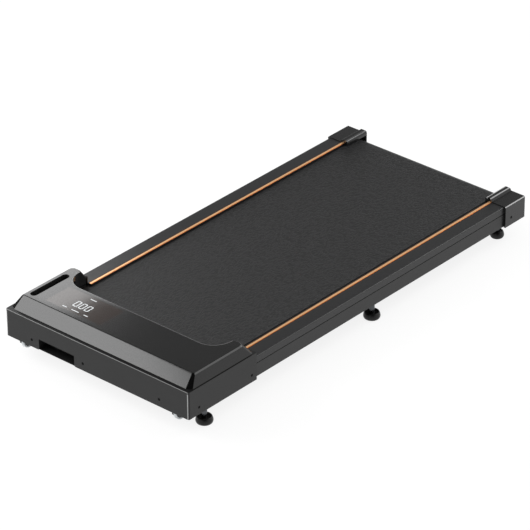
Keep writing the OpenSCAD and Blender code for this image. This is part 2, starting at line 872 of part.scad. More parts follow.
// Steel can with the magnets bonded inside it
module motor_can() {
    color("#1d1d1f") {
        ring_x(motor_r, motor_r - motor_wall, motor_x0, motor_x1, motor_y, motor_z);
        ring_x(motor_r - motor_wall + bite, armature_r + 1, motor_x0 + armature_margin,
               motor_x1 - armature_margin - commutator_w, motor_y, motor_z);
    }
}

// End bells with the motor's bearings in their middle
module motor_end_bells() {
    color("#a9adb0")
    for (e = [[motor_x0 - bell_t, motor_x0, motor_x0 + bell_lip],
              [motor_x1 - bell_lip, motor_x1, motor_x1 + bell_t]])
        difference() {
            union() {
                bar_x(motor_r - motor_wall - snug, e[0], e[2], motor_y, motor_z);
                if (e[0] < motor_x0) bar_x(motor_r - 1, e[0], e[1], motor_y, motor_z);
                else bar_x(motor_r - 1, e[1], e[2], motor_y, motor_z);
            }
            bar_x(shaft_r + run, e[0] - past, e[2] + past, motor_y, motor_z);
        }
}

// Armature: the wound core and the commutator pressed on the motor's shaft
module motor_armature() {
    core_x1 = motor_x1 - armature_margin - commutator_w;
    color("#8a5a32") {
        bar_x(armature_r, motor_x0 + armature_margin, core_x1, motor_y, motor_z);
        bar_x(armature_r * 0.55, core_x1 - bite, motor_x1 - armature_margin, motor_y, motor_z);
        bar_x(shaft_r, motor_x0 - bell_t - fan_gap - fan_t - 2, pulley_x1 + 0.5, motor_y, motor_z);
    }
}

// Pulley with grooves round it for the ribbed belt
module ribbed_pulley(r, bore, x0, x1, y, z) {
    pitch = (x1 - x0 - 2) / rib_count;
    difference() {
        bar_x(r, x0, x1, y, z);
        bar_x(bore, x0 - past, x1 + past, y, z);
        for (i = [0 : rib_count - 1])
            ring_x(r + 1, r - rib_depth, x0 + 1 + (i + 0.3) * pitch, x0 + 1 + (i + 0.7) * pitch, y, z);
    }
}

module motor_pulley() {
    color("#9a9da0")
    ribbed_pulley(motor_pulley_r, shaft_r + run, pulley_x0, pulley_x1, motor_y, motor_z);
}

module motor_fan() {
    x1 = motor_x0 - bell_t - fan_gap;
    blades = 9;
    hub = 9;
    tip = motor_r - 5;
    color("#262626")
    union() {
        ring_x(hub, shaft_r + run, x1 - fan_t, x1, motor_y, motor_z);
        ring_x(tip, hub - bite, x1 - 1.2, x1, motor_y, motor_z);
        for (i = [0 : blades - 1])
            translate([x1 - fan_t, motor_y, motor_z]) rotate([i * 360 / blades, 0, 0])
                translate([0, hub - 1, -0.75]) cube([fan_t - 0.6, tip - hub - 1, 1.5]);
    }
}

// Closed belt round two pulleys, drawn along (y) and up (z), with its thickness outside them
module loop_fill(a, ra, b, rb) {
    hull() {
        translate(a) circle(ra);
        translate(b) circle(rb);
    }
}

module belt_loop(a, ra, b, rb, t) {
    difference() {
        loop_fill(a, ra + t, b, rb + t);
        loop_fill(a, ra, b, rb);
    }
}

module drive_belt() {
    color("#101010")
    along_x(pulley_x0 + 1, pulley_x1 - 1)
        belt_loop([motor_y, motor_z], motor_pulley_r + gap, [front_axle_y, axle_z], roller_pulley_r + gap,
                  drive_belt_t);
}

module front_axle() {
    color("#c4c6c8")
    bar_x(axle_r, -rail_out, rail_out, front_axle_y, axle_z);
}

module rear_axle() {
    color("#c4c6c8")
    difference() {
        bar_x(axle_r, -rail_out, rail_out, rear_axle_y, axle_z);
        both_sides() bar_y(bolt_r + run, rear_axle_y - 2 * axle_r, rear_axle_y + 2 * axle_r, bolt_x, axle_z);
    }
}

module front_roller() {
    color("#8f9295")
    ring_x(roller_r, roller_r - roller_wall, -roller_end, pulley_x0, front_axle_y, axle_z);
}

module rear_roller() {
    color("#8f9295")
    ring_x(roller_r, roller_r - roller_wall, -roller_end, roller_end, rear_axle_y, axle_z);
}

module front_roller_pulley() {
    color("#262626")
    ribbed_pulley(roller_pulley_r, axle_r + 1, pulley_x0, pulley_x1, front_axle_y, axle_z);
}

module roller_bearings(y) {
    color("#d0d2d4")
    both_sides()
        ring_x(roller_r - roller_wall - snug / 2, axle_r + run,
               roller_end - bearing_inset - bearing_w, roller_end - bearing_inset, y, axle_z);
}

module front_bearings() {
    roller_bearings(front_axle_y);
}

module rear_bearings() {
    roller_bearings(rear_axle_y);
}

// Bolts that pull the rear axle back and so tighten the belt
module tension_bolts() {
    color("#3c3c3c")
    both_sides() difference() {
        union() {
            bar_y(bolt_r, rear_axle_y - axle_r - 2, bracket_rear_y + bite, bolt_x, axle_z);
            bar_y(bolt_head_r, bracket_rear_y, bracket_rear_y + bolt_head_h, bolt_x, axle_z);
        }
        translate([bolt_x, bracket_rear_y + bolt_head_h + 1, axle_z]) rotate([90, 0, 0])
            cylinder(r = 2.9, h = 4, $fn = 6);
    }
}

module walking_belt() {
    color("#3f3f3f")
    along_x(-half_belt - belt_shift, half_belt - belt_shift)
        belt_loop([front_axle_y, axle_z], belt_inner_r, [rear_axle_y, axle_z], belt_inner_r, belt_t);
}

// The places of the screws that hold the deck board down on the cross tubes
module at_deck_screws() {
    for (y = cross_ys)
        both_sides() translate([deck_screw_x, y, deck_top]) children();
}

module deck_board() {
    color("#2a2622")
    difference() {
        block([-half_deck, deck_front_y, deck_bottom], [half_deck, deck_rear_y, deck_top]);
        at_deck_screws() countersunk(deck_screw_r, deck_screw_head_r, deck_screw_head_h, deck_t + 1, snug);
    }
}

module deck_cushions() {
    color("#101010") {
        for (y = cross_ys)
            for (s = [-1, 1])
                translate([s * cushion_x - cushion_size[0] / 2, y - cushion_size[1] / 2, cross_top])
                    cube([cushion_size[0], cushion_size[1], cushion_t]);
        difference() {
            at_deck_screws() translate([0, 0, cross_top - deck_top]) cylinder(r = 7, h = cushion_t);
            at_deck_screws() translate([0, 0, -deck_t - cushion_t - 1])
                cylinder(r = deck_screw_r + snug, h = cushion_t + 2);
        }
    }
}

module deck_screws() {
    color("#505050")
    at_deck_screws() difference() {
        countersunk(deck_screw_r, deck_screw_head_r, deck_screw_head_h, deck_t + cushion_t + 8, 0);
        translate([0, 0, -2]) cylinder(r = 2, h = 3, $fn = 6);
    }
}

module cross_tubes() {
    wall = tube_wall;
    color("#2c2c2c")
    difference() {
        for (y = cross_ys)
            block([-tube_in, y - cross_width / 2, cross_top - cross_height],
                  [tube_in, y + cross_width / 2, cross_top]);
        for (y = cross_ys)
            block([-tube_in - 1, y - cross_width / 2 + wall, cross_top - cross_height + wall],
                  [tube_in + 1, y + cross_width / 2 - wall, cross_top - wall]);
        at_deck_screws() translate([0, 0, -deck_t - cushion_t - 2 * wall])
            cylinder(r = deck_screw_r + run, h = 3 * wall);
    }
}

// Welded boss that a foot's stud screws into, on the right side
module foot_boss(i) {
    translate([foot_offsets[i], foot_ys[i], plate_z]) cylinder(r = stud_r + boss_wall, h = boss_h);
}

// Frame tube with the welded bosses of two feet and the bracket of the rear roller
module frame_tube(side) {
    color("#3a3a3a")
    on_side(side)
    difference() {
        union() {
            difference() {
                block([tube_in, tube_front_y, plate_z], [rail_out, rail_end_y, tube_top]);
                block([tube_in + tube_wall, tube_front_y - 1, plate_z + tube_wall],
                      [rail_out - tube_wall, rail_end_y + 1, tube_top - tube_wall]);
            }
            for (i = [0, 1])
                foot_boss(i);
            // Open-topped box behind the tube
            difference() {
                block([bracket_in, rail_end_y, plate_z], [rail_out, bracket_rear_y, bracket_top]);
                block([bracket_in + bracket_sheet, rail_end_y + bracket_sheet, plate_z + bracket_sheet],
                      [rail_out - bracket_sheet, bracket_rear_y - bracket_sheet, bracket_top + 1]);
            }
            intersection() {
                foot_boss(2);
                block([bracket_in, rail_end_y, plate_z], [rail_out, bracket_rear_y, bracket_top]);
            }
        }
        for (i = [0 : 2])
            translate([foot_offsets[i], foot_ys[i], plate_z - 1])
                cylinder(r = stud_r + run, h = bracket_sheet + boss_h + 2);
        // Holes of the front axle and slots of the rear one
        bar_x(axle_r + snug, tube_in - 1, rail_out + 1, front_axle_y, axle_z);
        along_x(bracket_in - 1, rail_out + 1)
            union() {
                r = axle_r + snug;
                for (y = [rear_axle_y - slot_play, rear_axle_y + slot_play / 2])
                    translate([y, axle_z]) circle(r);
                translate([rear_axle_y - slot_play, axle_z - r]) square([1.5 * slot_play, 2 * r]);
            }
        bar_y(bolt_r + 1, bracket_rear_y - bracket_sheet - 1, bracket_rear_y + 1, bolt_x, axle_z);
        // Threads of the side screws
        for (y = [front_y + side_screws_from_front[1]])
            bar_x(screw_r + snug, rail_out - tube_wall - 1, rail_out + 1, y, side_screw_z);
        bar_x(screw_r + snug, rail_out - bracket_sheet - 1, rail_out + 1, cap_screw_y, cap_screw_z);
    }
}

module frame_tube_left() {
    frame_tube(-1);
}

module frame_tube_right() {
    frame_tube(1);
}

// Section of a side rail, drawn across (x) and up (z) for the right side
module rail_section() {
    lip_z = deck_top + 0.9;
    edge = 1.5;
    difference() {
        polygon([
            [rail_in, rail_top], [rail_out - edge, rail_top], [rail_out, rail_top - edge],
            [rail_out, tube_top + edge], [rail_out - edge, tube_top], [tube_in, tube_top],
            [tube_in, lip_z], [rail_in, lip_z]
        ]);
        translate([tube_in + 2.5, tube_top + 2]) square([tube_width - 4.5, rail_height - 4]);
        translate([rail_in + strip_margin, rail_top - 1]) square([strip_width, 2]);
    }
}

module side_rail(side) {
    color("#454545")
    on_side(side) along_y(base_rear_y, rail_end_y) rail_section();
}

module side_rail_left() {
    side_rail(-1);
}

module side_rail_right() {
    side_rail(1);
}

module accent_strips() {
    proud = 0.4;
    color("#c8702a")
    both_sides()
        block([rail_in + strip_margin, base_rear_y, rail_top - 1],
              [rail_in + strip_margin + strip_width, rail_end_y, rail_top + proud]);
}

// Section of an end cap, drawn across (x) and up (z) for the right side, drawn in by a wall and a roof
module cap_section(wall, roof, low_z) {
    top = rail_top + cap_lift - roof;
    crest = rail_top + cap_lift + ridge_height - wall;
    edge = 2;
    x0 = cap_in + wall;
    x1 = cap_out - wall;
    polygon(concat(
        [[x1, low_z], [x1, top - edge], [x1 - edge, top],
         [cap_in + ridge_width + ridge_slope - 0.6 * wall, top], [cap_in + ridge_width - 0.4 * wall, crest]],
        arc(x0 + ridge_r - wall, crest - ridge_r + wall, ridge_r - wall, 90, 180, 8),
        [[x0, low_z]]
    ));
}

module end_cap(side) {
    bottom = under_z - 0.6;
    crest = rail_top + cap_lift + ridge_height;
    round_r = 3;
    color("#3a3a3a")
    on_side(side)
    difference() {
        union() {
            difference() {
                along_y(cap_front_y, rear_y) cap_section(0, 0, bottom);
                along_y(cap_front_y + cap_wall, rear_y - cap_wall)
                    cap_section(cap_wall, min(cap_wall, cap_lift - gap), bottom - 1);
            }
            // Boss that sets the cap off from the bracket
            bar_x(5, rail_out, cap_out - cap_wall + bite, cap_screw_y, cap_screw_z);
        }
        // The inner side is open below the ridge, where roller and belt pass
        block([cap_in - 1, cap_front_y - 1, bottom - 1],
              [bracket_in - 2, rear_y - cap_wall, skirt_z]);
        // The front opening fits over rail and tube
        block([bracket_in - 3, cap_front_y - 1, bottom - 1],
              [rail_out + snug, cap_front_y + cap_wall + 1, rail_top + 0.5]);
        block([rail_in - snug, cap_front_y - 1, skirt_z - 1],
              [bracket_in, cap_front_y + cap_wall + 1, rail_top + 0.5]);
        // The back of the ridge is rounded
        difference() {
            block([cap_in - 1, rear_y - round_r, crest - round_r], [cap_out + 1, rear_y + 1, crest + 1]);
            bar_x(round_r, cap_in - 2, cap_out + 2, rear_y - round_r, crest - round_r);
        }
        // Way in for the key of the tension bolt
        bar_y(bolt_head_r + 0.5, rear_y - cap_wall - 1, rear_y + 1, bolt_x, axle_z);
        translate([cap_out, cap_screw_y, cap_screw_z]) rotate([0, 90, 0]) screw_hole();
    }
}

module end_cap_left() {
    end_cap(-1);
}

module end_cap_right() {
    end_cap(1);
}

// Bent bracket over each wheel: two ears, a top plate and a flange on the base's side wall
module wheel_brackets() {
    y0 = ear_front_y;
    y1 = front_y + side_screws_from_front[0] + 5;
    low = wheel_axle_height - ear_drop;
    turn = 4;
    side = half_base - base_sheet;
    color("#2c2c2c")
    both_sides() difference() {
        union() {
            for (x = [ear_in, ear_out])
                along_x(x, x + ear_t) polygon([
                    [y0, wheel_plate_z], [y0, low + turn], [y0 + turn, low], [wheel_y + turn, low],
                    [wheel_y + 2 * turn, low + turn], [wheel_y + 2 * turn, wheel_plate_z]
                ]);
            block([ear_in, y0, wheel_plate_z - ear_t], [side, y1, wheel_plate_z]);
            block([side - ear_t, y0, side_screw_z - 8], [side, y1, wheel_plate_z]);
        }
        bar_x(wheel_axle_r + snug, ear_in - 1, ear_out + ear_t + 1, wheel_y, wheel_axle_height);
        bar_x(screw_r + snug, side - ear_t - 1, side + 1, front_y + side_screws_from_front[0], side_screw_z);
    }
}

module wheel_axles() {
    color("#b0b3b6")
    both_sides() {
        bar_x(wheel_axle_r, ear_in - 1.5, ear_out + ear_t + bite, wheel_y, wheel_axle_height);
        bar_x(wheel_axle_r + 1.5, ear_out + ear_t, ear_out + ear_t + 2, wheel_y, wheel_axle_height);
    }
}

// Wheel with a crowned tread and a recess in each side round the hub
module transport_wheel(side) {
    w = wheel_width / 2;
    r = wheel_r;
    bore = wheel_axle_r + run;
    color("#d8dadc")
    on_side(side) translate([wheel_offset, wheel_y, wheel_axle_height]) rotate([0, 90, 0])
        rotate_extrude() polygon([
            [bore, -w - 1.5], [bore + 2.5, -w - 1.5], [bore + 2.5, -w + 2.5], [r - 4.5, -w + 2.5],
            [r - 4, -w], [r - 1, -w], [r, -w + 1.5], [r, w - 1.5], [r - 1, w], [r - 4, w],
            [r - 4.5, w - 2.5], [bore + 2.5, w - 2.5], [bore + 2.5, w + 1.5], [bore, w + 1.5]
        ]);
}

module wheel_left() {
    transport_wheel(-1);
}

module wheel_right() {
    transport_wheel(1);
}

module housing_screws() {
    color("#1a1a1a") {
        at_front_screws() housing_screw(9);
        at_side_screw(0) housing_screw(8);
        at_side_screw(1) housing_screw(12);
        at_cap_screws() housing_screw(10);
    }
}

module housing_screw(length) {
    difference() {
        countersunk(screw_r, screw_head_r, screw_head_h, length, 0);
        translate([0, 0, -1]) cylinder(r = 1.3, h = 2, $fn = 6);
    }
}

// Rubber pad of a foot: a bulging cup with a hollow top, the stud set in its middle
module foot_pad(side, i) {
    r = (i == 2 ? rear_pad_diameter : pad_diameter) / 2;
    h = pad_height;
    seat = stud_r + run;
    color("#141414")
    translate([side * foot_offsets[i], foot_ys[i], 0])
        rotate_extrude() polygon([
            [0, 0], [r - 2.6, 0], [r - 1.6, 1], [r - 0.5, 3], [r, 5.5], [r - 0.2, 8], [r - 1.3, h - 3],
            [r - 2.4, h - 0.8], [r - 3.2, h], [r - 4.4, h], [r - 5.2, h - 1.8], [seat, h - 1.8],
            [seat, stud_seat_z], [0, stud_seat_z]
        ]);
}

module foot_stud(side, i) {
    tip = 1;
    color("#8a8c8e")
    translate([side * foot_offsets[i], foot_ys[i], 0]) {
        translate([0, 0, stud_seat_z]) cylinder(r = stud_r, h = stud_top_z - tip - stud_seat_z);
        translate([0, 0, stud_top_z - tip]) cylinder(r1 = stud_r, r2 = stud_r - tip, h = tip);
    }
}

base_housing();
belly_plate();
motor_cover();
belt_guard();
display_window();
display_board();
display_digits();
slot_liner();
inlet_panel();
power_inlet();
switch_housing();
power_rocker();
breaker_body();
breaker_button();
control_board();
heat_sink();
motor_bracket();
motor_can();
motor_end_bells();
motor_armature();
motor_pulley();
motor_fan();
drive_belt();
front_axle();
front_roller();
front_roller_pulley();
front_bearings();
rear_axle();
rear_roller();
rear_bearings();
tension_bolts();
walking_belt();
deck_board();
deck_cushions();
deck_screws();
cross_tubes();
frame_tube_left();
frame_tube_right();
side_rail_left();
side_rail_right();
accent_strips();
end_cap_left();
end_cap_right();
wheel_brackets();
wheel_axles();
wheel_left();
wheel_right();
housing_screws();
foot_pad(-1, 0);  // foot_pad_front_left
foot_pad(1, 0);  // foot_pad_front_right
foot_pad(-1, 1);  // foot_pad_middle_left
foot_pad(1, 1);  // foot_pad_middle_right
foot_pad(-1, 2);  // foot_pad_rear_left
foot_pad(1, 2);  // foot_pad_rear_right
foot_stud(-1, 0);  // foot_stud_front_left
foot_stud(1, 0);  // foot_stud_front_right
foot_stud(-1, 1);  // foot_stud_middle_left
foot_stud(1, 1);  // foot_stud_middle_right
foot_stud(-1, 2);  // foot_stud_rear_left
foot_stud(1, 2);  // foot_stud_rear_right
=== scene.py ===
import math

import bmesh
import bpy
from mathutils import Matrix, Vector


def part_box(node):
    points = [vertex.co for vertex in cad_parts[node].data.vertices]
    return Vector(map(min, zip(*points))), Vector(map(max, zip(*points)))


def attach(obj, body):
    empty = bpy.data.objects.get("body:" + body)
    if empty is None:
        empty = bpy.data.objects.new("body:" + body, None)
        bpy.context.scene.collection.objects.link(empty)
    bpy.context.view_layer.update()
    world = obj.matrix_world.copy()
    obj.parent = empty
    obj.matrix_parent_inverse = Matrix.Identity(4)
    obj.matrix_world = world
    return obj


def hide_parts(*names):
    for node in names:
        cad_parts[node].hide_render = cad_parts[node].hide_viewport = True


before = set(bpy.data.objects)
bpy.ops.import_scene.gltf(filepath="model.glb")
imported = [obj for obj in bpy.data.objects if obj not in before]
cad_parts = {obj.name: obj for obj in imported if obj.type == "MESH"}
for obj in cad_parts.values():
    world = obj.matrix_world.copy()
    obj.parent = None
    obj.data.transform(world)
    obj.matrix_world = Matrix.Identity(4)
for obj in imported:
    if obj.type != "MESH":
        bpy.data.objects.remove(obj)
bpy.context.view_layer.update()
scene = bpy.context.scene

# Camera
# The photograph's view, from the front right and 30 degrees above the floor. The long lens and the
# place were worked out from the edges of the base, the rails and the feet.
AZIMUTH, ELEVATION, ROLL = (math.radians(a) for a in (41.35, 30.046, -0.389))
CAMERA_PLACE = (4.44482, -5.07489, 3.96407)
LENS_MM = 253.71
SENSOR_MM = 36
FURTHEST_SEEN = 50
back = Vector((math.sin(AZIMUTH) * math.cos(ELEVATION), -math.cos(AZIMUTH) * math.cos(ELEVATION),
               math.sin(ELEVATION)))
level = Vector((math.cos(AZIMUTH), math.sin(AZIMUTH), 0))
upright = back.cross(level)
turned = level * math.cos(ROLL) + upright * math.sin(ROLL)
upright = upright * math.cos(ROLL) - level * math.sin(ROLL)
camera = bpy.data.objects.new("camera", bpy.data.cameras.new("camera"))
scene.collection.objects.link(camera)
camera.data.lens = LENS_MM
camera.data.sensor_width = SENSOR_MM
camera.data.clip_end = FURTHEST_SEEN
camera.matrix_world = Matrix.Translation(CAMERA_PLACE) @ Matrix((turned, upright, back)).transposed().to_4x4()
scene.camera = camera
scene.view_settings.view_transform = "Standard"


# Studio
# A white floor, a white surround and four soft boxes at a plain level. One on the front left lights
# the slope of the hood, one on the left is mirrored in the left half of its top, a wide one high at
# the front right fills in, and one behind on the right draws the edges.
WHITE_FLOOR_SHARE = 0.8
WHITE_FLOOR_STRENGTH = 1.06
EVEN_LIGHT = 0.75


def add(tree, kind, inputs=None, **settings):
    """Adds a node with its settings. An input is given as a value or as the socket that feeds it."""
    made = tree.nodes.new(kind)
    for name, value in settings.items():
        setattr(made, name, value)
    for name, value in (inputs or {}).items():
        if isinstance(value, bpy.types.NodeSocket):
            tree.links.new(value, made.inputs[name])
        else:
            made.inputs[name].default_value = value
    return made


world = bpy.data.worlds.new("studio")
scene.world = world
world.use_nodes = True
sky = world.node_tree
sky.nodes.clear()
# The camera sees the surround white, and matt surfaces get an even light from it. In gloss it is
# white at the horizon and grey overhead, bright high up behind on the right, and dark at the front
# right, which gives the hood and the belt the reflections that the photograph shows.
way = add(sky, "ShaderNodeTexCoord")
parts = add(sky, "ShaderNodeSeparateXYZ", {0: way.outputs["Generated"]})
ceiling = add(sky, "ShaderNodeMapRange", {"Value": parts.outputs["Z"], "From Min": 0.10, "From Max": 0.42,
                                          "To Min": 1.0, "To Max": 0.30})
right = add(sky, "ShaderNodeMapRange", {"Value": parts.outputs["X"], "From Min": 0.0, "From Max": 0.3,
                                        "To Max": 2.0})
above = add(sky, "ShaderNodeMapRange", {"Value": parts.outputs["Z"], "From Min": 0.3, "From Max": 0.45})
behind = add(sky, "ShaderNodeMapRange", {"Value": parts.outputs["Y"], "From Min": 0.1, "From Max": 0.4})
high_back = add(sky, "ShaderNodeMath", {0: above.outputs[0], 1: behind.outputs[0]}, operation="MULTIPLY")
glow = add(sky, "ShaderNodeMath", {0: right.outputs[0], 1: high_back.outputs[0], 2: ceiling.outputs[0]},
           operation="MULTIPLY_ADD")
aside = add(sky, "ShaderNodeMapRange", {"Value": parts.outputs["X"], "From Min": 0.2, "From Max": 0.45})
ahead = add(sky, "ShaderNodeMapRange", {"Value": parts.outputs["Y"], "From Min": -0.1, "From Max": -0.4})
front_right = add(sky, "ShaderNodeMath", {0: aside.outputs[0], 1: ahead.outputs[0]}, operation="MULTIPLY")
shade = add(sky, "ShaderNodeMapRange", {"Value": front_right.outputs[0], "To Min": 1.0, "To Max": 0.1})
mirrored = add(sky, "ShaderNodeMath", {0: glow.outputs[0], 1: shade.outputs[0]}, operation="MULTIPLY")
ray = add(sky, "ShaderNodeLightPath")
clear = add(sky, "ShaderNodeMath", {0: ray.outputs["Is Camera Ray"], 1: ray.outputs["Is Transmission Ray"]},
            operation="MAXIMUM")
glossy = add(sky, "ShaderNodeMix", {0: ray.outputs["Is Glossy Ray"], 2: EVEN_LIGHT, 3: mirrored.outputs[0]})
strength = add(sky, "ShaderNodeMix", {0: clear.outputs[0], 2: glossy.outputs[0], 3: 1.0})
surround = add(sky, "ShaderNodeBackground", {"Color": (1, 1, 1, 1), "Strength": strength.outputs[0]})
add(sky, "ShaderNodeOutputWorld", {"Surface": surround.outputs[0]})

FLOOR_HALF = 9
FLOOR_Z = -0.0003
bm = bmesh.new()
bmesh.ops.create_grid(bm, x_segments=1, y_segments=1, size=FLOOR_HALF)
bmesh.ops.translate(bm, verts=bm.verts, vec=(0, 0, FLOOR_Z))
mesh = bpy.data.meshes.new("studio_floor")
bm.to_mesh(mesh)
bm.free()
floor = bpy.data.objects.new("studio_floor", mesh)
scene.collection.objects.link(floor)
paper = bpy.data.materials.new("white_paper")
paper.use_nodes = True
tree = paper.node_tree
tree.nodes.clear()
ray = add(tree, "ShaderNodeLightPath")
seen = add(tree, "ShaderNodeMath", {0: ray.outputs["Is Camera Ray"], 1: ray.outputs["Is Glossy Ray"]},
           operation="MAXIMUM")
share = add(tree, "ShaderNodeMath", {0: seen.outputs[0], 1: WHITE_FLOOR_SHARE}, operation="MULTIPLY")
matt = add(tree, "ShaderNodeBsdfDiffuse", {"Color": (0.9, 0.9, 0.9, 1)})
white = add(tree, "ShaderNodeEmission", {"Color": (1, 1, 1, 1), "Strength": WHITE_FLOOR_STRENGTH})
mixed = add(tree, "ShaderNodeMixShader", {0: share.outputs[0], 1: matt.outputs[0], 2: white.outputs[0]})
add(tree, "ShaderNodeOutputMaterial", {"Surface": mixed.outputs[0]})
mesh.materials.append(paper)


def soft_box(name, place, target, width, height, radiance):
    """Area lamp that faces a point. Its power gives it the same radiance at any size."""
    lamp = bpy.data.lights.new(name, "AREA")
    lamp.shape = "RECTANGLE"
    lamp.size = width
    lamp.size_y = height
    lamp.energy = radiance * math.pi * width * height
    box = bpy.data.objects.new(name, lamp)
    scene.collection.objects.link(box)
    towards = Vector(target) - Vector(place)
    box.matrix_world = Matrix.Translation(place) @ towards.to_track_quat("-Z", "Y").to_matrix().to_4x4()


soft_box("slope_lamp", (-1.27, -1.16, 1.08), (0, -0.51, 0.115), width=1.3, height=0.7, radiance=5.4)
soft_box("hood_lamp", (-0.98, 0.20, 0.62), (-0.98, 0.20, 0.0), width=0.55, height=0.36, radiance=3.6)
soft_box("key_lamp", (1.2, -1.6, 2.4), (0, 0, 0.05), width=1.8, height=1.8, radiance=0.5)
soft_box("edge_lamp", (0.66, 1.60, 1.34), (0.22, 0.50, 0.10), width=0.9, height=0.3, radiance=7.0)


# Motor base
# The base is a box folded from 2 mm steel sheet, powder-coated near-black after folding. Its
# corners are rolled to 4 mm and its cut edges are only broken, so they catch a thin line of light.
SAME_POINT = 0.000001
FLAT_WITHIN = 0.5
SMOOTH_UP_TO = 35
CLOUD_MM = 45
BASE_EDGE = 0.0013
BASE_SHORT_EDGE = 0.004
# Where each painted highlight or painted shade line fades in and where it is full, measured from the
# base's own faces: in from a side, back from the front, or down from the top.
CORNER_LINE_IN = (0.0042, 0.0034)
CORNER_LINE_DOWN = (0.0033, 0.0043)
FRONT_FACE_BACK = (0.0008, 0.0004)
LIP_LINE_DOWN = (0.0014, 0.0008)
SHADE_BACK = (0.0045, 0.0035)
LEDGE_DOWN = (0.0002, 0.0001)


def colour(code):
    """The linear colour of an sRGB hex value such as #3a3a3a."""
    parts = [int(code[i:i + 2], 16) / 255 for i in (1, 3, 5)]
    return [p / 12.92 if p <= 0.04045 else ((p + 0.055) / 1.055) ** 2.4 for p in parts] + [1]


def solid_copy(name):
    """Mesh of a CAD node with its doubles merged and its flat triangles joined into faces."""
    bm = bmesh.new()
    bm.from_mesh(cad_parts[name].data)
    bmesh.ops.remove_doubles(bm, verts=bm.verts, dist=SAME_POINT)
    bmesh.ops.dissolve_limit(bm, angle_limit=math.radians(FLAT_WITHIN), verts=bm.verts, edges=bm.edges)
    return bm


def round_edges(bm, width, sharper=30, segments=2, keep=None):
    """Rounds the edges whose faces meet at more than an angle, or those of them that keep() picks."""
    picked = [e for e in bm.edges if e.is_manifold and e.calc_face_angle(0) > math.radians(sharper)
              and (keep is None or keep(e))]
    bmesh.ops.bevel(bm, geom=picked, offset=width, offset_type="OFFSET", segments=segments, profile=0.5,
                    affect="EDGES", clamp_overlap=True, material=-1)


def place(bm, name, body, slot, *materials, replaces, wall=0):
    """Makes the piece, shades it smooth up to an angle, lets it ride on its body and hides the CAD
    nodes that it stands for. Its slot is not used. A sheet gets its wall inwards."""
    for face in bm.faces:
        face.smooth = True
    for edge in bm.edges:
        edge.smooth = edge.is_manifold and edge.calc_face_angle(0) < math.radians(SMOOTH_UP_TO)
    mesh = bpy.data.meshes.new(name)
    bm.to_mesh(mesh)
    bm.free()
    for material in materials:
        mesh.materials.append(material)
    piece = bpy.data.objects.new(name, mesh)
    scene.collection.objects.link(piece)
    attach(piece, body)
    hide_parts(*replaces)
    if wall:
        shell = piece.modifiers.new("wall", "SOLIDIFY")
        shell.thickness = wall
        shell.offset = -1
        shell.use_even_offset = True
    flat = piece.modifiers.new("flat_faces_stay_flat", "WEIGHTED_NORMAL")
    flat.keep_sharp = True
    flat.weight = 100


def new_finish(name, **constants):
    """New material: its tree, its shader, and Object coordinates for its pattern."""
    material = bpy.data.materials.new(name)
    material.use_nodes = True
    tree = material.node_tree
    shader = tree.nodes["Principled BSDF"]
    for socket, value in constants.items():
        shader.inputs[socket.replace("_", " ")].default_value = value
    coordinates = add(tree, "ShaderNodeTexCoord").outputs["Object"]
    return material, tree, shader, coordinates


def grained(name, low, high, grain_mm, depth_mm, roughness, stretch=(1, 1, 1), **constants):
    """Finish with an even grain: soft clouds between two colours, a roughness that follows the
    grain, and a bump as deep as the grain. The grain is drawn out where stretch is under 1. What a
    real finish needs beyond that, such as its IOR, is set on the shader."""
    material, tree, shader, coordinates = new_finish(name, **constants)
    along = add(tree, "ShaderNodeMapping", {"Vector": coordinates, "Scale": stretch})
    clouds = add(tree, "ShaderNodeTexNoise", {"Vector": along.outputs[0], "Scale": 1000 / CLOUD_MM,
                                              "Detail": 3.0, "Roughness": 0.55})
    grain = add(tree, "ShaderNodeTexNoise", {"Vector": along.outputs[0], "Scale": 1000 / grain_mm,
                                             "Detail": 2.0, "Roughness": 0.6})
    both = add(tree, "ShaderNodeMix", {0: 0.35, 2: clouds.outputs["Fac"], 3: grain.outputs["Fac"]})
    spread = add(tree, "ShaderNodeMapRange", {"Value": both.outputs[0], "From Min": 0.35, "From Max": 0.65})
    tint = add(tree, "ShaderNodeMix", {0: spread.outputs[0], 6: colour(low), 7: colour(high)},
               data_type="RGBA")
    matt = add(tree, "ShaderNodeMapRange", {"Value": grain.outputs["Fac"], "From Min": 0.3, "From Max": 0.7,
                                            "To Min": roughness[0], "To Max": roughness[1]})
    bump = add(tree, "ShaderNodeBump", {"Height": grain.outputs["Fac"], "Strength": 0.6,
                                        "Distance": depth_mm / 1000})
    tree.links.new(tint.outputs[2], shader.inputs["Base Color"])
    tree.links.new(matt.outputs[0], shader.inputs["Roughness"])
    tree.links.new(bump.outputs[0], shader.inputs["Normal"])
    return material


def dress(material, *nodes):
    """Gives CAD nodes that stay as they are their material."""
    for name in nodes:
        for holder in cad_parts[name].material_slots:
            holder.material = material


# Polyester powder coat on steel: the cured powder leaves a fine pebble that keeps the gloss low.
# The real pebble is about 0.3 mm, and it is drawn at 0.8 mm so that it shows.
powder_coat = grained("powder_coated_steel", "#111111", "#161616", 0.8, 0.03, (0.34, 0.46), IOR=1.42)
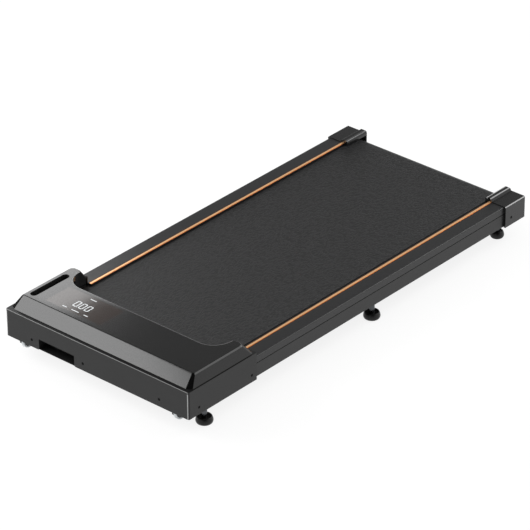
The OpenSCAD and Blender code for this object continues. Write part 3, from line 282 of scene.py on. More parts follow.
# A pale line along the front of each rolled corner and along the front lip is a painted highlight. The
# side just behind each corner and the top under the hood's edge are darkened as painted shade.
base_low, base_high = (Vector(corner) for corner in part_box("base_housing"))
tree = powder_coat.node_tree
shader = tree.nodes["Principled BSDF"]
parts = add(tree, "ShaderNodeSeparateXYZ", {0: add(tree, "ShaderNodeTexCoord").outputs["Object"]})
across = add(tree, "ShaderNodeMath", {0: parts.outputs["X"]}, operation="ABSOLUTE")
corner_band = add(tree, "ShaderNodeMapRange", {"Value": across.outputs[0],
                                          "From Min": base_high.x - CORNER_LINE_IN[0],
                                          "From Max": base_high.x - CORNER_LINE_IN[1]})
ahead = add(tree, "ShaderNodeMapRange", {"Value": parts.outputs["Y"],
                                         "From Min": base_low.y + FRONT_FACE_BACK[0],
                                         "From Max": base_low.y + FRONT_FACE_BACK[1]})
below = add(tree, "ShaderNodeMapRange", {"Value": parts.outputs["Z"],
                                         "From Min": base_high.z - CORNER_LINE_DOWN[0],
                                         "From Max": base_high.z - CORNER_LINE_DOWN[1]})
# Painted highlight: the pale line down the front of each corner.
strip = add(tree, "ShaderNodeMath", {0: corner_band.outputs[0], 1: ahead.outputs[0]}, operation="MULTIPLY")
strip = add(tree, "ShaderNodeMath", {0: strip.outputs[0], 1: below.outputs[0]}, operation="MULTIPLY")
# Painted highlight: the pale line along the front lip.
lip = add(tree, "ShaderNodeMapRange", {"Value": parts.outputs["Z"],
                                       "From Min": base_high.z - LIP_LINE_DOWN[0],
                                       "From Max": base_high.z - LIP_LINE_DOWN[1]})
lip = add(tree, "ShaderNodeMath", {0: lip.outputs[0], 1: ahead.outputs[0]}, operation="MULTIPLY")
# Painted shade: dark on the side just behind each corner and on the top under the hood's edge.
painted_shade = add(tree, "ShaderNodeMapRange", {"Value": parts.outputs["Y"],
                                        "From Min": base_low.y + SHADE_BACK[0],
                                        "From Max": base_low.y + SHADE_BACK[1]})
painted_shade = add(tree, "ShaderNodeMath", {0: painted_shade.outputs[0], 1: corner_band.outputs[0]}, operation="MULTIPLY")
ledge = add(tree, "ShaderNodeMapRange", {"Value": parts.outputs["Z"],
                                         "From Min": base_high.z - LEDGE_DOWN[0],
                                         "From Max": base_high.z - LEDGE_DOWN[1]})
painted_shade = add(tree, "ShaderNodeMath", {0: painted_shade.outputs[0], 1: ledge.outputs[0]}, operation="MAXIMUM")
# The coat's colour with the painted shade (#020202) and the painted highlights (#8a8a8a, #a6a6a6).
coat = shader.inputs["Base Color"].links[0].from_socket
dark = add(tree, "ShaderNodeMix", {0: painted_shade.outputs[0], 6: coat, 7: colour("#020202")}, data_type="RGBA")
line = add(tree, "ShaderNodeMix", {0: lip.outputs[0], 6: dark.outputs[2], 7: colour("#8a8a8a")},
           data_type="RGBA")
painted_highlight = add(tree, "ShaderNodeMix", {0: strip.outputs[0], 6: line.outputs[2], 7: colour("#a6a6a6")},
           data_type="RGBA")
tree.links.new(painted_highlight.outputs[2], shader.inputs["Base Color"])
bm = solid_copy("base_housing")
round_edges(bm, BASE_EDGE, segments=3, keep=lambda e: e.calc_length() > BASE_SHORT_EDGE)
place(bm, "base_shell", "frame", "powder_coat", powder_coat, replaces=["base_housing"])


# Frame
# Two rectangular steel tubes with cross tubes welded between them, the belly plate, the motor's
# saddle and the wheel brackets. All are sprayed with one coat of black enamel after welding.

# Sprayed enamel: a little smoother than the powder coat, with the slow waves of orange peel.
enamel = grained("sprayed_black_enamel", "#121212", "#171717", 1.6, 0.02, (0.34, 0.44), IOR=1.45)
dress(enamel, "belly_plate", "cross_tubes", "frame_tube_left", "frame_tube_right", "motor_bracket",
      "wheel_brackets")


# Motor cover
# One injection-moulded ABS hood with a polished black top. Its front slopes, its front corners are
# cut, and two arms reach back beside the belt. A wall round the belt hangs down between the arms.
HOOD_WALL = 0.0022
HOOD_EDGE = 0.0013
HOOD_TOP_Z = 0.1261
HOOD_FOOT_Z = 0.1023
SKIRT_Z = 0.0852
ARM_INNER_X = 0.208
ARM_INNER_RADIUS = 0.006
ARM_OUTER_RADIUS = 0.010
NOTCH_RADIUS = 0.045
NOTCH_X = ARM_INNER_X - NOTCH_RADIUS
NOTCH_Y = -0.3636
CORNER_BACK_PER_WIDTH = 0.64
CORNER_FACING = 0.15
NOTCH_STEPS = 16
ARM_STEPS = 12
SLOT_STEPS = 48
HOOD_MERGE = 0.00001
# The hood from its top down: half width, front, back of the arms, half width of the front, height.
HOOD_LEVELS = ((0.2332, -0.5028, -0.3570, 0.2305, HOOD_TOP_Z),
               (0.2365, -0.5062, -0.3545, 0.2311, 0.1228),
               (0.2465, -0.5274, -0.3390, 0.2350, HOOD_FOOT_Z))
WINDOW_GAP = 0.00005
SLOT_X = -0.218
SLOT_Y = -0.4395
SLOT_HALF_STRAIGHT = 0.04575
SLOT_HOLE_RADIUS = 0.0084
# The painted highlight round the notch: where it fades in and is full, out from the arc, and its depth.
NOTCH_LINE_OUT = (0.0019, 0.0012)
NOTCH_LINE_DEPTH = 0.0008


def arc(x, y, r, start, end, steps):
    """Points on an arc, its angles in degrees."""
    return [(x + r * math.cos(math.radians(start + (end - start) * i / steps)),
             y + r * math.sin(math.radians(start + (end - start) * i / steps))) for i in range(steps + 1)]


def hood_ring(bm, half, front, rear, cut, z):
    """Right half of the hood's outline at one height, from the bridge round to the front."""
    notch = [(0, NOTCH_Y - NOTCH_RADIUS)] + arc(NOTCH_X, NOTCH_Y, NOTCH_RADIUS, -90, 0, NOTCH_STEPS)
    notch += [(ARM_INNER_X, rear - ARM_INNER_RADIUS)]
    outer = arc(ARM_INNER_X + ARM_INNER_RADIUS, rear - ARM_INNER_RADIUS, ARM_INNER_RADIUS, 180, 90,
                ARM_STEPS)[1:]
    outer += arc(half - ARM_OUTER_RADIUS, rear - ARM_OUTER_RADIUS, ARM_OUTER_RADIUS, 90, 0, ARM_STEPS)
    front_end = [(half, front + CORNER_BACK_PER_WIDTH * (half - cut)), (cut, front), (0, front)]
    verts = [bm.verts.new((x, y, z)) for x, y in notch + outer + front_end]
    edges = [bm.edges.new(pair) for pair in zip(verts, verts[1:])]
    return verts, edges, len(notch)


bm = bmesh.new()
rings = [hood_ring(bm, *level) for level in HOOD_LEVELS]
for (_, upper, _), (_, lower, _) in zip(rings, rings[1:]):
    bmesh.ops.bridge_loops(bm, edges=upper + lower)
verts, edges, notch = rings[-1]
hanging = bmesh.ops.extrude_edge_only(bm, edges=edges[:notch - 1])["geom"]
bmesh.ops.translate(bm, verts=[v for v in hanging if isinstance(v, bmesh.types.BMVert)],
                    vec=(0, 0, SKIRT_Z - HOOD_FOOT_Z))
bmesh.ops.contextual_create(bm, geom=rings[0][1])
bmesh.ops.mirror(bm, geom=bm.verts[:] + bm.edges[:] + bm.faces[:], axis="X",
                 merge_dist=HOOD_MERGE)
bmesh.ops.remove_doubles(bm, verts=bm.verts, dist=HOOD_MERGE)
middle = [e for e in bm.edges if e.is_manifold and all(abs(v.co.x) < SAME_POINT for v in e.verts)]
bmesh.ops.dissolve_edges(bm, edges=middle, use_verts=True)
bmesh.ops.recalc_face_normals(bm, faces=bm.faces)
# The cut corners take the second material, which paints them in shade.
for face in bm.faces:
    face.material_index = int(abs(face.normal.x) > CORNER_FACING and face.normal.y < -CORNER_FACING)
round_edges(bm, HOOD_EDGE, sharper=12, segments=3)
top = max(bm.faces, key=lambda f: f.calc_area() if f.normal.z > 0.99 else 0)
rim = list(top.edges)
top_z = top.verts[0].co.z
bmesh.ops.delete(bm, geom=[top], context="FACES_ONLY")


def stadium(bm, r, z):
    """Loop round the storage slot: a circle whose halves are drawn apart."""
    made = bmesh.ops.create_circle(bm, radius=r, segments=SLOT_STEPS,
                                   matrix=Matrix.Rotation(math.pi / SLOT_STEPS, 4, "Z"))["verts"]
    for vert in made:
        vert.co.y += math.copysign(SLOT_HALF_STRAIGHT, vert.co.y)
    bmesh.ops.translate(bm, verts=made, vec=(SLOT_X, SLOT_Y, z))
    return made


def loop_edges(verts):
    """Edges of a loop of vertices."""
    return list({e for v in verts for e in v.link_edges})


slot = stadium(bm, SLOT_HOLE_RADIUS, top_z)
window = bmesh.ops.create_grid(bm, x_segments=1, y_segments=1, size=1)["verts"]
bmesh.ops.delete(bm, geom=list({f for v in window for f in v.link_faces}), context="FACES_ONLY")
low, high = (Vector(corner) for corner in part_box("display_window"))
for vert in window:
    vert.co = ((high.x + WINDOW_GAP) if vert.co.x > 0 else (low.x - WINDOW_GAP),
               (high.y + WINDOW_GAP) if vert.co.y > 0 else (low.y - WINDOW_GAP), top_z)
bmesh.ops.triangle_fill(bm, use_beauty=True, edges=rim + loop_edges(slot) + loop_edges(window))
bmesh.ops.recalc_face_normals(bm, faces=bm.faces)
# Polished black ABS: mirror-like, with the slow waves that a moulded sheet has and a dusting of
# fine scuffs that softens the reflection a little. A thin pale line along the edge round the belt is
# a painted highlight.
SHEET_WAVE_MM = 60
SCUFF_MM = 1.5
gloss, tree, shader, coordinates = new_finish("polished_black_abs", IOR=1.52)
waves = add(tree, "ShaderNodeTexNoise", {"Vector": coordinates, "Scale": 1000 / SHEET_WAVE_MM,
                                         "Detail": 1.0})
dust = add(tree, "ShaderNodeTexNoise", {"Vector": coordinates, "Scale": 1000 / SCUFF_MM, "Detail": 3.0})
black = add(tree, "ShaderNodeMix", {0: waves.outputs["Fac"], 6: colour("#0c0c0c"), 7: colour("#101010")},
            data_type="RGBA")
parts = add(tree, "ShaderNodeSeparateXYZ", {0: coordinates})
aside = add(tree, "ShaderNodeMath", {0: parts.outputs["X"]}, operation="ABSOLUTE")
aside = add(tree, "ShaderNodeMath", {0: aside.outputs[0], 1: NOTCH_X}, operation="SUBTRACT")
aside = add(tree, "ShaderNodeMath", {0: aside.outputs[0], 1: 0.0}, operation="MAXIMUM")
fore = add(tree, "ShaderNodeMath", {0: parts.outputs["Y"], 1: NOTCH_Y}, operation="SUBTRACT")
fore = add(tree, "ShaderNodeMath", {0: fore.outputs[0], 1: 0.0}, operation="MINIMUM")
from_corner = add(tree, "ShaderNodeCombineXYZ", {0: aside.outputs[0], 1: fore.outputs[0]})
reach = add(tree, "ShaderNodeVectorMath", {0: from_corner.outputs[0]}, operation="LENGTH")
near = add(tree, "ShaderNodeMapRange", {"Value": reach.outputs["Value"],
                                        "From Min": NOTCH_RADIUS + NOTCH_LINE_OUT[0],
                                        "From Max": NOTCH_RADIUS + NOTCH_LINE_OUT[1]})
above = add(tree, "ShaderNodeMath", {0: parts.outputs["Z"], 1: top_z - NOTCH_LINE_DEPTH},
            operation="GREATER_THAN")
lip = add(tree, "ShaderNodeMath", {0: near.outputs[0], 1: above.outputs[0]}, operation="MULTIPLY")
# Painted highlight: the thin pale line on the top along the edge round the belt.
tint = add(tree, "ShaderNodeMix", {0: lip.outputs[0], 6: black.outputs[2], 7: colour("#8c8c8c")},
           data_type="RGBA")
matt = add(tree, "ShaderNodeMapRange", {"Value": dust.outputs["Fac"], "From Min": 0.3, "From Max": 0.7,
                                        "To Min": 0.13, "To Max": 0.20})
bump = add(tree, "ShaderNodeBump", {"Height": waves.outputs["Fac"], "Strength": 0.3, "Distance": 0.0002})
tree.links.new(tint.outputs[2], shader.inputs["Base Color"])
tree.links.new(matt.outputs[0], shader.inputs["Roughness"])
tree.links.new(bump.outputs[0], shader.inputs["Normal"])
# Matt, nearly black ABS with a fine grain and a low IOR on the two cut corners. It is painted shade
# that stands for the dark reflection these corners show.
corner_painted_dark = grained("cut_corner_painted_shade", "#020202", "#050505", 0.7, 0.02, (0.5, 0.62), IOR=1.15)
place(bm, "hood", "frame", "cover_gloss", gloss, corner_painted_dark, replaces=["motor_cover", "belt_guard"],
      wall=HOOD_WALL)


# Storage slot
# A black moulded cup that hangs in the left of the hood. Its narrow lip lies flush with the hood
# and its bottom corners are rounded so that it wipes clean.
LIP_Z = 0.12605
LIP_OUTER_RADIUS = 0.00835
LIP_INNER_RADIUS = 0.0080
CUP_FLOOR_Z = 0.0866
CUP_EDGE = 0.0012
CUP_WALL = 0.0013
bm = bmesh.new()
outer_lip = stadium(bm, LIP_OUTER_RADIUS, LIP_Z)
inner_lip = stadium(bm, LIP_INNER_RADIUS, LIP_Z)
bmesh.ops.bridge_loops(bm, edges=loop_edges(outer_lip) + loop_edges(inner_lip))
rim = [e for e in bm.edges if all(v in inner_lip for v in e.verts)]
cup_side = bmesh.ops.extrude_edge_only(bm, edges=rim)["geom"]
foot = [v for v in cup_side if isinstance(v, bmesh.types.BMVert)]
bmesh.ops.translate(bm, verts=foot, vec=(0, 0, CUP_FLOOR_Z - LIP_Z))
bmesh.ops.contextual_create(bm, geom=[e for e in bm.edges if all(v in foot for v in e.verts)])
bmesh.ops.recalc_face_normals(bm, faces=bm.faces)
if max(bm.faces, key=lambda f: f.calc_area() if abs(f.normal.z) > 0.9 else 0).normal.z < 0:
    bmesh.ops.reverse_faces(bm, faces=bm.faces)
round_edges(bm, CUP_EDGE, sharper=60, segments=3, keep=lambda e: e.verts[0].co.z < (CUP_FLOOR_Z + LIP_Z) / 2)
# Spark-eroded black plastic: the mould's fine grain keeps it dull.
inner_black = grained("spark_eroded_black_plastic", "#0a0a0a", "#111111", 0.7, 0.03, (0.5, 0.68), IOR=1.5)
place(bm, "slot_cup", "frame", "inner_black", inner_black, replaces=["slot_liner"], wall=CUP_WALL)


# Display
# A smoked acrylic window set flush in the hood, cut for the light of the digits, and the circuit
# board with its light pipes that lies under it.

# Smoked acrylic: clear gloss over a brown-black tint.
smoked = grained("smoked_acrylic", "#2f2723", "#332a26", 2.5, 0.002, (0.09, 0.13), IOR=1.49)
dress(smoked, "display_window")
# Diffused light pipes: an even pale glow with a faint mottle.
MOTTLE_MM = 1.5
lit, tree, shader, coordinates = new_finish("lit_diffuser", IOR=1.49, Roughness=0.4, Emission_Strength=0.22)
cells = add(tree, "ShaderNodeTexNoise", {"Vector": coordinates, "Scale": 1000 / MOTTLE_MM, "Detail": 2.0})
glow = add(tree, "ShaderNodeMix", {0: cells.outputs["Fac"], 6: colour("#c4c8ca"), 7: colour("#dfe3e5")},
           data_type="RGBA")
tree.links.new(glow.outputs[2], shader.inputs["Base Color"])
tree.links.new(glow.outputs[2], shader.inputs["Emission Color"])
dress(lit, "display_digits")
# Solder mask on glass fibre: green gloss with the weave of the cloth, whose cells are drawn 1.5 by
# 0.75 mm so that they show. Two cells lie side by side in one repeat.
CLOTH_REPEAT_MM = 3
board_green, tree, shader, coordinates = new_finish("green_solder_mask", IOR=1.5, Roughness=0.3)
weave = add(tree, "ShaderNodeTexBrick", {"Vector": coordinates, "Scale": 1000 / CLOTH_REPEAT_MM,
                                         "Color1": colour("#1d4a33"), "Color2": colour("#215339"),
                                         "Mortar": colour("#143726"), "Mortar Size": 0.03})
bump = add(tree, "ShaderNodeBump", {"Height": weave.outputs["Fac"], "Strength": 0.3, "Distance": 0.0001})
tree.links.new(weave.outputs["Color"], shader.inputs["Base Color"])
tree.links.new(bump.outputs[0], shader.inputs["Normal"])
dress(board_green, "display_board", "control_board")


# Power recess
# A black moulded panel behind the cut-out in the base's front, with the mains inlet, the rocker
# switch in its housing and the resettable breaker.
ROCKER_EDGE = 0.0004
dress(inner_black, "inlet_panel", "power_inlet", "switch_housing", "breaker_body")
bm = solid_copy("power_rocker")
round_edges(bm, ROCKER_EDGE, sharper=40)
# Polished black nylon: smoother than its housing so that the rocker stands out.
switch_black = grained("polished_black_nylon", "#121212", "#181818", 1.0, 0.01, (0.25, 0.34), IOR=1.53)
place(bm, "rocker_cap", "power_rocker", "switch_black", switch_black, replaces=["power_rocker"])
# Red nylon button, dull from its mould.
button_red = grained("moulded_red_nylon", "#7c1a18", "#8c2220", 0.8, 0.02, (0.4, 0.5), IOR=1.53)
dress(button_red, "breaker_button")


# Control electronics and motor
# An extruded heat sink on the control board, and a direct-current motor with cast end bells, a
# wound armature, a fan and a pulley for the ribbed belt to the front roller.

# Mill-finish aluminium: bright, with the drawn lines of the extrusion. It stands in for the cast
# end bells and the turned pulley too.
mill = grained("mill_finish_aluminium", "#a9abad", "#b7b9bb", 0.6, 0.01, (0.28, 0.42), stretch=(0.08, 1, 1),
               Metallic=1.0)
dress(mill, "heat_sink", "motor_end_bells", "motor_pulley")
# Enamel on the motor's can: black, with a slight orange peel.
motor_enamel = grained("black_motor_enamel", "#131315", "#19191b", 1.2, 0.02, (0.3, 0.4), IOR=1.5)
dress(motor_enamel, "motor_can")
# Lacquered copper: the wires lie side by side along the core. Real ones are about 0.6 mm thick and
# are drawn 3.77 mm apart so that they show. At scale 1 a band of the wave pattern is BAND wide.
WIRE_MM = 3.77
BAND = math.tau / 20
winding, tree, shader, coordinates = new_finish("lacquered_copper_wire", Metallic=1.0, Roughness=0.3)
wires = add(tree, "ShaderNodeTexWave", {"Vector": coordinates, "Scale": 1000 * BAND / WIRE_MM,
                                        "Distortion": 0.6}, bands_direction="Y")
copper = add(tree, "ShaderNodeMix", {0: wires.outputs["Fac"], 6: colour("#5c2f18"), 7: colour("#b46a3c")},
             data_type="RGBA")
bump = add(tree, "ShaderNodeBump", {"Height": wires.outputs["Fac"], "Strength": 0.6, "Distance": 0.0002})
tree.links.new(copper.outputs[2], shader.inputs["Base Color"])
tree.links.new(bump.outputs[0], shader.inputs["Normal"])
dress(winding, "motor_armature")
dress(inner_black, "motor_fan", "front_roller_pulley")
# Moulded drive rubber: dull, with a fine grain.
drive_rubber = grained("ribbed_drive_rubber", "#0d0d0d", "#141414", 0.9, 0.04, (0.6, 0.75), IOR=1.52)
dress(drive_rubber, "drive_belt")


# Rollers
# Zinc-plated steel tubes that turn on ball bearings on ground axles. The rear axle is pulled back
# by a bolt on each side.
ROUND_THE_ROLLER = (1, 0.1, 0.1)
# Plated and ground steel: fine lines run round rollers and axles.
plated = grained("zinc_plated_roller_tube", "#85888b", "#96999c", 0.8, 0.01, (0.3, 0.42),
                 stretch=ROUND_THE_ROLLER, Metallic=1.0)
dress(plated, "front_roller", "rear_roller")
ground = grained("ground_bright_steel", "#a3a5a7", "#b4b6b8", 0.5, 0.005, (0.2, 0.3),
                 stretch=ROUND_THE_ROLLER, Metallic=1.0)
dress(ground, "front_axle", "rear_axle", "front_bearings", "rear_bearings", "wheel_axles")
# Black oxide on the bolts and the deck's screws: a thin dark film that keeps the metal's sheen.
black_oxide = grained("black_oxide_steel", "#1b1b1c", "#252527", 0.6, 0.01, (0.35, 0.5), Metallic=1.0)
dress(black_oxide, "tension_bolts", "deck_screws")


# Deck
# A fibreboard with a black laminate on both faces, on which the belt slides. It lies on rubber
# cushions and is screwed down to the cross tubes.

# Laminate: low gloss, with faint lines along the board.
laminate = grained("black_fibreboard_laminate", "#1c1a18", "#24211e", 1.5, 0.02, (0.35, 0.5),
                   stretch=(1, 0.12, 1), IOR=1.5)
dress(laminate, "deck_board")


# Walking belt
# A sheet of black PVC on a woven polyester backing, joined into a loop. Its face is embossed with
# long, low waves that run along the belt.
STREAK_MM = 3.8
STREAK_BEND_MM = 18
GRIT_MM = 1.2
EMBOSS_DEPTH = 0.00035
STREAK_SHOVE = (0.016, 0.004, 0.0)
STREAK_STRETCH = (1, 0.33, 1)
# Embossed PVC: matt black whose raised streaks are a shade lighter.
pvc, tree, shader, coordinates = new_finish("embossed_pvc_sheet", IOR=1.5)
bend = add(tree, "ShaderNodeTexNoise", {"Vector": coordinates, "Scale": 1000 / STREAK_BEND_MM,
                                         "Detail": 2.0})
shove = add(tree, "ShaderNodeVectorMath", {0: bend.outputs["Color"], 1: STREAK_SHOVE},
            operation="MULTIPLY")
bent = add(tree, "ShaderNodeVectorMath", {0: coordinates, 1: shove.outputs[0]}, operation="ADD")
along = add(tree, "ShaderNodeMapping", {"Vector": bent.outputs[0], "Scale": STREAK_STRETCH})
streaks = add(tree, "ShaderNodeTexNoise", {"Vector": along.outputs[0], "Scale": 1000 / STREAK_MM,
                                           "Detail": 1.5, "Roughness": 0.5})
sharp = add(tree, "ShaderNodeMapRange", {"Value": streaks.outputs["Fac"], "From Min": 0.46, "From Max": 0.55})
grit = add(tree, "ShaderNodeTexNoise", {"Vector": coordinates, "Scale": 1000 / GRIT_MM, "Detail": 2.0})
tint = add(tree, "ShaderNodeMix", {0: sharp.outputs[0], 6: colour("#060607"), 7: colour("#1a1a1b")},
           data_type="RGBA")
height = add(tree, "ShaderNodeMath", {0: sharp.outputs[0], 1: grit.outputs["Fac"]}, operation="ADD")
bump = add(tree, "ShaderNodeBump", {"Height": height.outputs[0], "Strength": 0.9, "Distance": EMBOSS_DEPTH})
matt = add(tree, "ShaderNodeMapRange", {"Value": grit.outputs["Fac"], "To Min": 0.44, "To Max": 0.56})
tree.links.new(tint.outputs[2], shader.inputs["Base Color"])
tree.links.new(matt.outputs[0], shader.inputs["Roughness"])
tree.links.new(bump.outputs[0], shader.inputs["Normal"])
dress(pvc, "walking_belt")


# Side rails
# Two aluminium extrusions, bead-blasted and anodised black, that lie on the frame tubes and carry
# the foot space beside the belt. Their long edges are rounded by the die.
RAIL_EDGE = 0.0008
# Only an edge that runs the length of a rail or a strip is longer than this.
LONG_EDGE = 0.5
# Anodised aluminium: a soft sheen on a dark film, drawn faintly along the rail.
anodised = grained("black_anodised_aluminium", "#171718", "#1e1e1f", 0.9, 0.015, (0.3, 0.42),
                   stretch=(1, 0.1, 1), IOR=1.45)
for side in ("left", "right"):
    bm = solid_copy("side_rail_" + side)
    round_edges(bm, RAIL_EDGE, keep=lambda e: e.calc_length() > LONG_EDGE)
    place(bm, "rail_" + side, "frame", "rail_coat", anodised, replaces=["side_rail_" + side])


# Accent strips
# Thin anodised aluminium strips, one in each rail. They are snapped into a groove beside the belt
# and their top edges are rounded.
STRIP_EDGE = 0.0006
STRIP_TOP_FROM_Z = 0.088
STRIP_MIDDLE_X = 0.20555
# Where the painted highlight in the middle ends and the deep orange is full, out from the middle.
STRIP_HIGHLIGHT_FADE = (0.0012, 0.0029)
bm = solid_copy("accent_strips")
round_edges(bm, STRIP_EDGE, segments=3,
            keep=lambda e: e.calc_length() > LONG_EDGE and e.verts[0].co.z > STRIP_TOP_FROM_Z)
# Copper-orange anodising, a deeper orange towards the edges, with brushed lines along the strip.
# The pale band along the middle is a painted highlight.
copper_film, tree, shader, coordinates = new_finish("copper_orange_anodised_aluminium", Metallic=0.65)
parts = add(tree, "ShaderNodeSeparateXYZ", {0: coordinates})
across = add(tree, "ShaderNodeMath", {0: parts.outputs["X"]}, operation="ABSOLUTE")
offset = add(tree, "ShaderNodeMath", {0: across.outputs[0], 1: STRIP_MIDDLE_X}, operation="SUBTRACT")
middle = add(tree, "ShaderNodeMath", {0: offset.outputs[0]}, operation="ABSOLUTE")
drawn = add(tree, "ShaderNodeMapping", {"Vector": coordinates, "Scale": (1, 0.05, 1)})
lines = add(tree, "ShaderNodeTexNoise", {"Vector": drawn.outputs[0], "Scale": 1000 / 0.7, "Detail": 2.0})
edge = add(tree, "ShaderNodeMapRange", {"Value": middle.outputs[0], "From Min": STRIP_HIGHLIGHT_FADE[0],
                                        "From Max": STRIP_HIGHLIGHT_FADE[1]})
# Painted highlight: pale along the middle of each strip.
tint = add(tree, "ShaderNodeMix", {0: edge.outputs[0], 6: colour("#ffd49c"), 7: colour("#e07420")},
           data_type="RGBA")
matt = add(tree, "ShaderNodeMapRange", {"Value": lines.outputs["Fac"], "To Min": 0.26, "To Max": 0.42})
bump = add(tree, "ShaderNodeBump", {"Height": lines.outputs["Fac"], "Strength": 0.4, "Distance": 0.00001})
tree.links.new(tint.outputs[2], shader.inputs["Base Color"])
tree.links.new(matt.outputs[0], shader.inputs["Roughness"])
tree.links.new(bump.outputs[0], shader.inputs["Normal"])
place(bm, "strips", "frame", "copper_strip", copper_film, replaces=["accent_strips"])


# Rear end caps
# Moulded black ABS caps over the ends of rails and tubes. Each has a ridge beside the belt and is
# held by a screw in its outer side.
CAP_EDGE = 0.0017
CAP_SHORT_EDGE = 0.006
CAP_LINE_HALF = (0.0012, 0.0008)
LINE_STRENGTH_LEFT = 0.12
LINE_STRENGTH_RIGHT = 0.9
# Satin ABS. Pale lines along ridge and shoulder are painted highlights, plain on the right cap and
# faint on the left one.
cap_abs, tree, shader, coordinates = new_finish("satin_black_abs", IOR=1.48)
low, high = (Vector(corner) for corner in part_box("end_cap_right"))
# The middle of each painted highlight across the cap, and the height from which it is painted.
cap_highlights = ((low.x + 0.0050, high.z - 0.0030), (low.x + 0.0145, high.z - 0.0020),
             (high.x - 0.0007, high.z - 0.0085))
parts = add(tree, "ShaderNodeSeparateXYZ", {0: coordinates})
across = add(tree, "ShaderNodeMath", {0: parts.outputs["X"]}, operation="ABSOLUTE")
painted_highlight = None
for middle_x, low_z in cap_highlights:
    away = add(tree, "ShaderNodeMath", {0: across.outputs[0], 1: middle_x}, operation="SUBTRACT")
    away = add(tree, "ShaderNodeMath", {0: away.outputs[0]}, operation="ABSOLUTE")
    near = add(tree, "ShaderNodeMapRange", {"Value": away.outputs[0], "From Min": CAP_LINE_HALF[0],
                                            "From Max": CAP_LINE_HALF[1]})
    above = add(tree, "ShaderNodeMath", {0: parts.outputs["Z"], 1: low_z}, operation="GREATER_THAN")
    line = add(tree, "ShaderNodeMath", {0: near.outputs[0], 1: above.outputs[0]}, operation="MULTIPLY")
    painted_highlight = line if painted_highlight is None else add(tree, "ShaderNodeMath", {0: painted_highlight.outputs[0], 1: line.outputs[0]},
                                         operation="MAXIMUM")
by_side = add(tree, "ShaderNodeMapRange", {"Value": parts.outputs["X"], "From Min": -0.01, "From Max": 0.01,
                                           "To Min": LINE_STRENGTH_LEFT, "To Max": LINE_STRENGTH_RIGHT})
painted_highlight = add(tree, "ShaderNodeMath", {0: painted_highlight.outputs[0], 1: by_side.outputs[0]}, operation="MULTIPLY")
grain = add(tree, "ShaderNodeTexNoise", {"Vector": coordinates, "Scale": 1000 / 0.9, "Detail": 2.0})
dark = add(tree, "ShaderNodeMix", {0: grain.outputs["Fac"], 6: colour("#0f0f0f"), 7: colour("#151515")},
           data_type="RGBA")
# Painted highlight: the pale lines mixed into the cap's black.
tint = add(tree, "ShaderNodeMix", {0: painted_highlight.outputs[0], 6: dark.outputs[2], 7: colour("#b8b8b8")},
           data_type="RGBA")
matt = add(tree, "ShaderNodeMapRange", {"Value": grain.outputs["Fac"], "To Min": 0.18, "To Max": 0.27})
bump = add(tree, "ShaderNodeBump", {"Height": grain.outputs["Fac"], "Strength": 0.4, "Distance": 0.00001})
tree.links.new(tint.outputs[2], shader.inputs["Base Color"])
tree.links.new(matt.outputs[0], shader.inputs["Roughness"])
tree.links.new(bump.outputs[0], shader.inputs["Normal"])
for side in ("left", "right"):
    bm = solid_copy("end_cap_" + side)
    round_edges(bm, CAP_EDGE, sharper=24, segments=4, keep=lambda e: e.calc_length() > CAP_SHORT_EDGE)
    place(bm, "cap_" + side, "frame", "cap_plastic", cap_abs, replaces=["end_cap_" + side])


# Levelling feet
# Six moulded rubber pads, each on a zinc-plated steel stud that screws into the machine. The stud
# sits in a round hole in the pad's dished top.
STUD_HOLE_RADIUS = 0.0061
STUD_SEAT_Z = 0.003
DISH_DEPTH = 0.0018
PAD_STEPS = 64
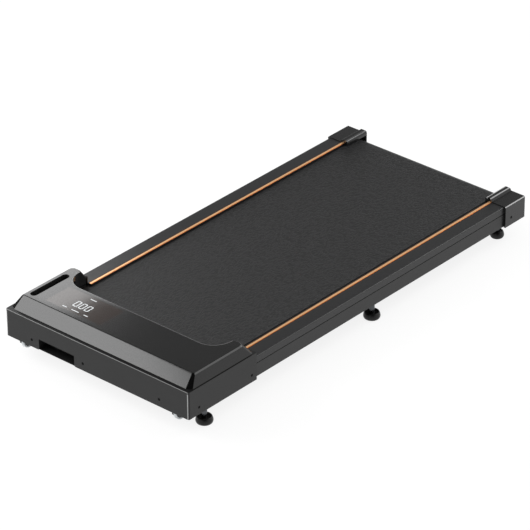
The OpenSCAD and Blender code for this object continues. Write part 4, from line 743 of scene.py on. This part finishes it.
# Moulded rubber: deep black with a low sheen. Zinc plating: grey metal with a soft gloss.
rubber = grained("moulded_black_rubber", "#070707", "#0d0d0d", 1.1, 0.02, (0.26, 0.38), IOR=1.38)
zinc = grained("zinc_plated_steel", "#4a4c4e", "#5c5e61", 0.6, 0.01, (0.2, 0.3), Metallic=1.0)
dress(rubber, "deck_cushions")
for row in ("front", "middle", "rear"):
    for side in ("left", "right"):
        foot_name = row + "_" + side
        low, high = (Vector(corner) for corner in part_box("foot_pad_" + foot_name))
        x, y, r, h = (low.x + high.x) / 2, (low.y + high.y) / 2, (high.x - low.x) / 2, high.z
        bm = bmesh.new()
        # Half the pad's outline, from the middle of its underside to the middle of the hole's floor
        profile = [(0, 0), (r - 0.0026, 0), (r - 0.0016, 0.001), (r - 0.0005, 0.003), (r, 0.0055),
                   (r - 0.0002, 0.008), (r - 0.0013, h - 0.003), (r - 0.0024, h - 0.0008), (r - 0.0032, h),
                   (r - 0.0044, h), (r - 0.0052, h - DISH_DEPTH), (STUD_HOLE_RADIUS, h - DISH_DEPTH),
                   (STUD_HOLE_RADIUS, STUD_SEAT_Z), (0, STUD_SEAT_Z)]
        verts = [bm.verts.new((a, 0, b)) for a, b in profile]
        edges = [bm.edges.new(pair) for pair in zip(verts, verts[1:])]
        bmesh.ops.spin(bm, geom=verts + edges, cent=(0, 0, 0), axis=(0, 0, 1), angle=math.tau,
                       steps=PAD_STEPS, use_merge=True)
        bmesh.ops.remove_doubles(bm, verts=bm.verts, dist=SAME_POINT)
        bmesh.ops.recalc_face_normals(bm, faces=bm.faces)
        bmesh.ops.translate(bm, verts=bm.verts, vec=(x, y, 0))
        place(bm, "pad_" + foot_name, "foot_" + foot_name, "foot_rubber", rubber,
              replaces=["foot_pad_" + foot_name])
        dress(zinc, "foot_stud_" + foot_name)


# Transport wheels
# Two pale nylon wheels at the front corners, on which the lifted machine rolls. Each turns on a
# steel axle between two ears of its bracket.
WHEEL_EDGE = 0.0005
# Moulded nylon: pale grey and satin.
nylon = grained("pale_moulded_nylon", "#c9cdd0", "#d6dadc", 1.2, 0.02, (0.35, 0.45), IOR=1.53)
for side in ("left", "right"):
    bm = solid_copy("wheel_" + side)
    round_edges(bm, WHEEL_EDGE, sharper=40)
    place(bm, "roll_" + side, "wheel_" + side, "wheel_plastic", nylon, replaces=["wheel_" + side])


# Housing screws
# Countersunk steel screws with a hexagon socket, oil-blackened. They hold the base, the wheel
# brackets and the caps.

# Oil-blackened steel: nearly black and dull, which a low IOR gives.
oil_black = grained("oil_blackened_steel", "#010101", "#040404", 0.6, 0.01, (0.5, 0.6), IOR=1.2)
dress(oil_black, "housing_screws")
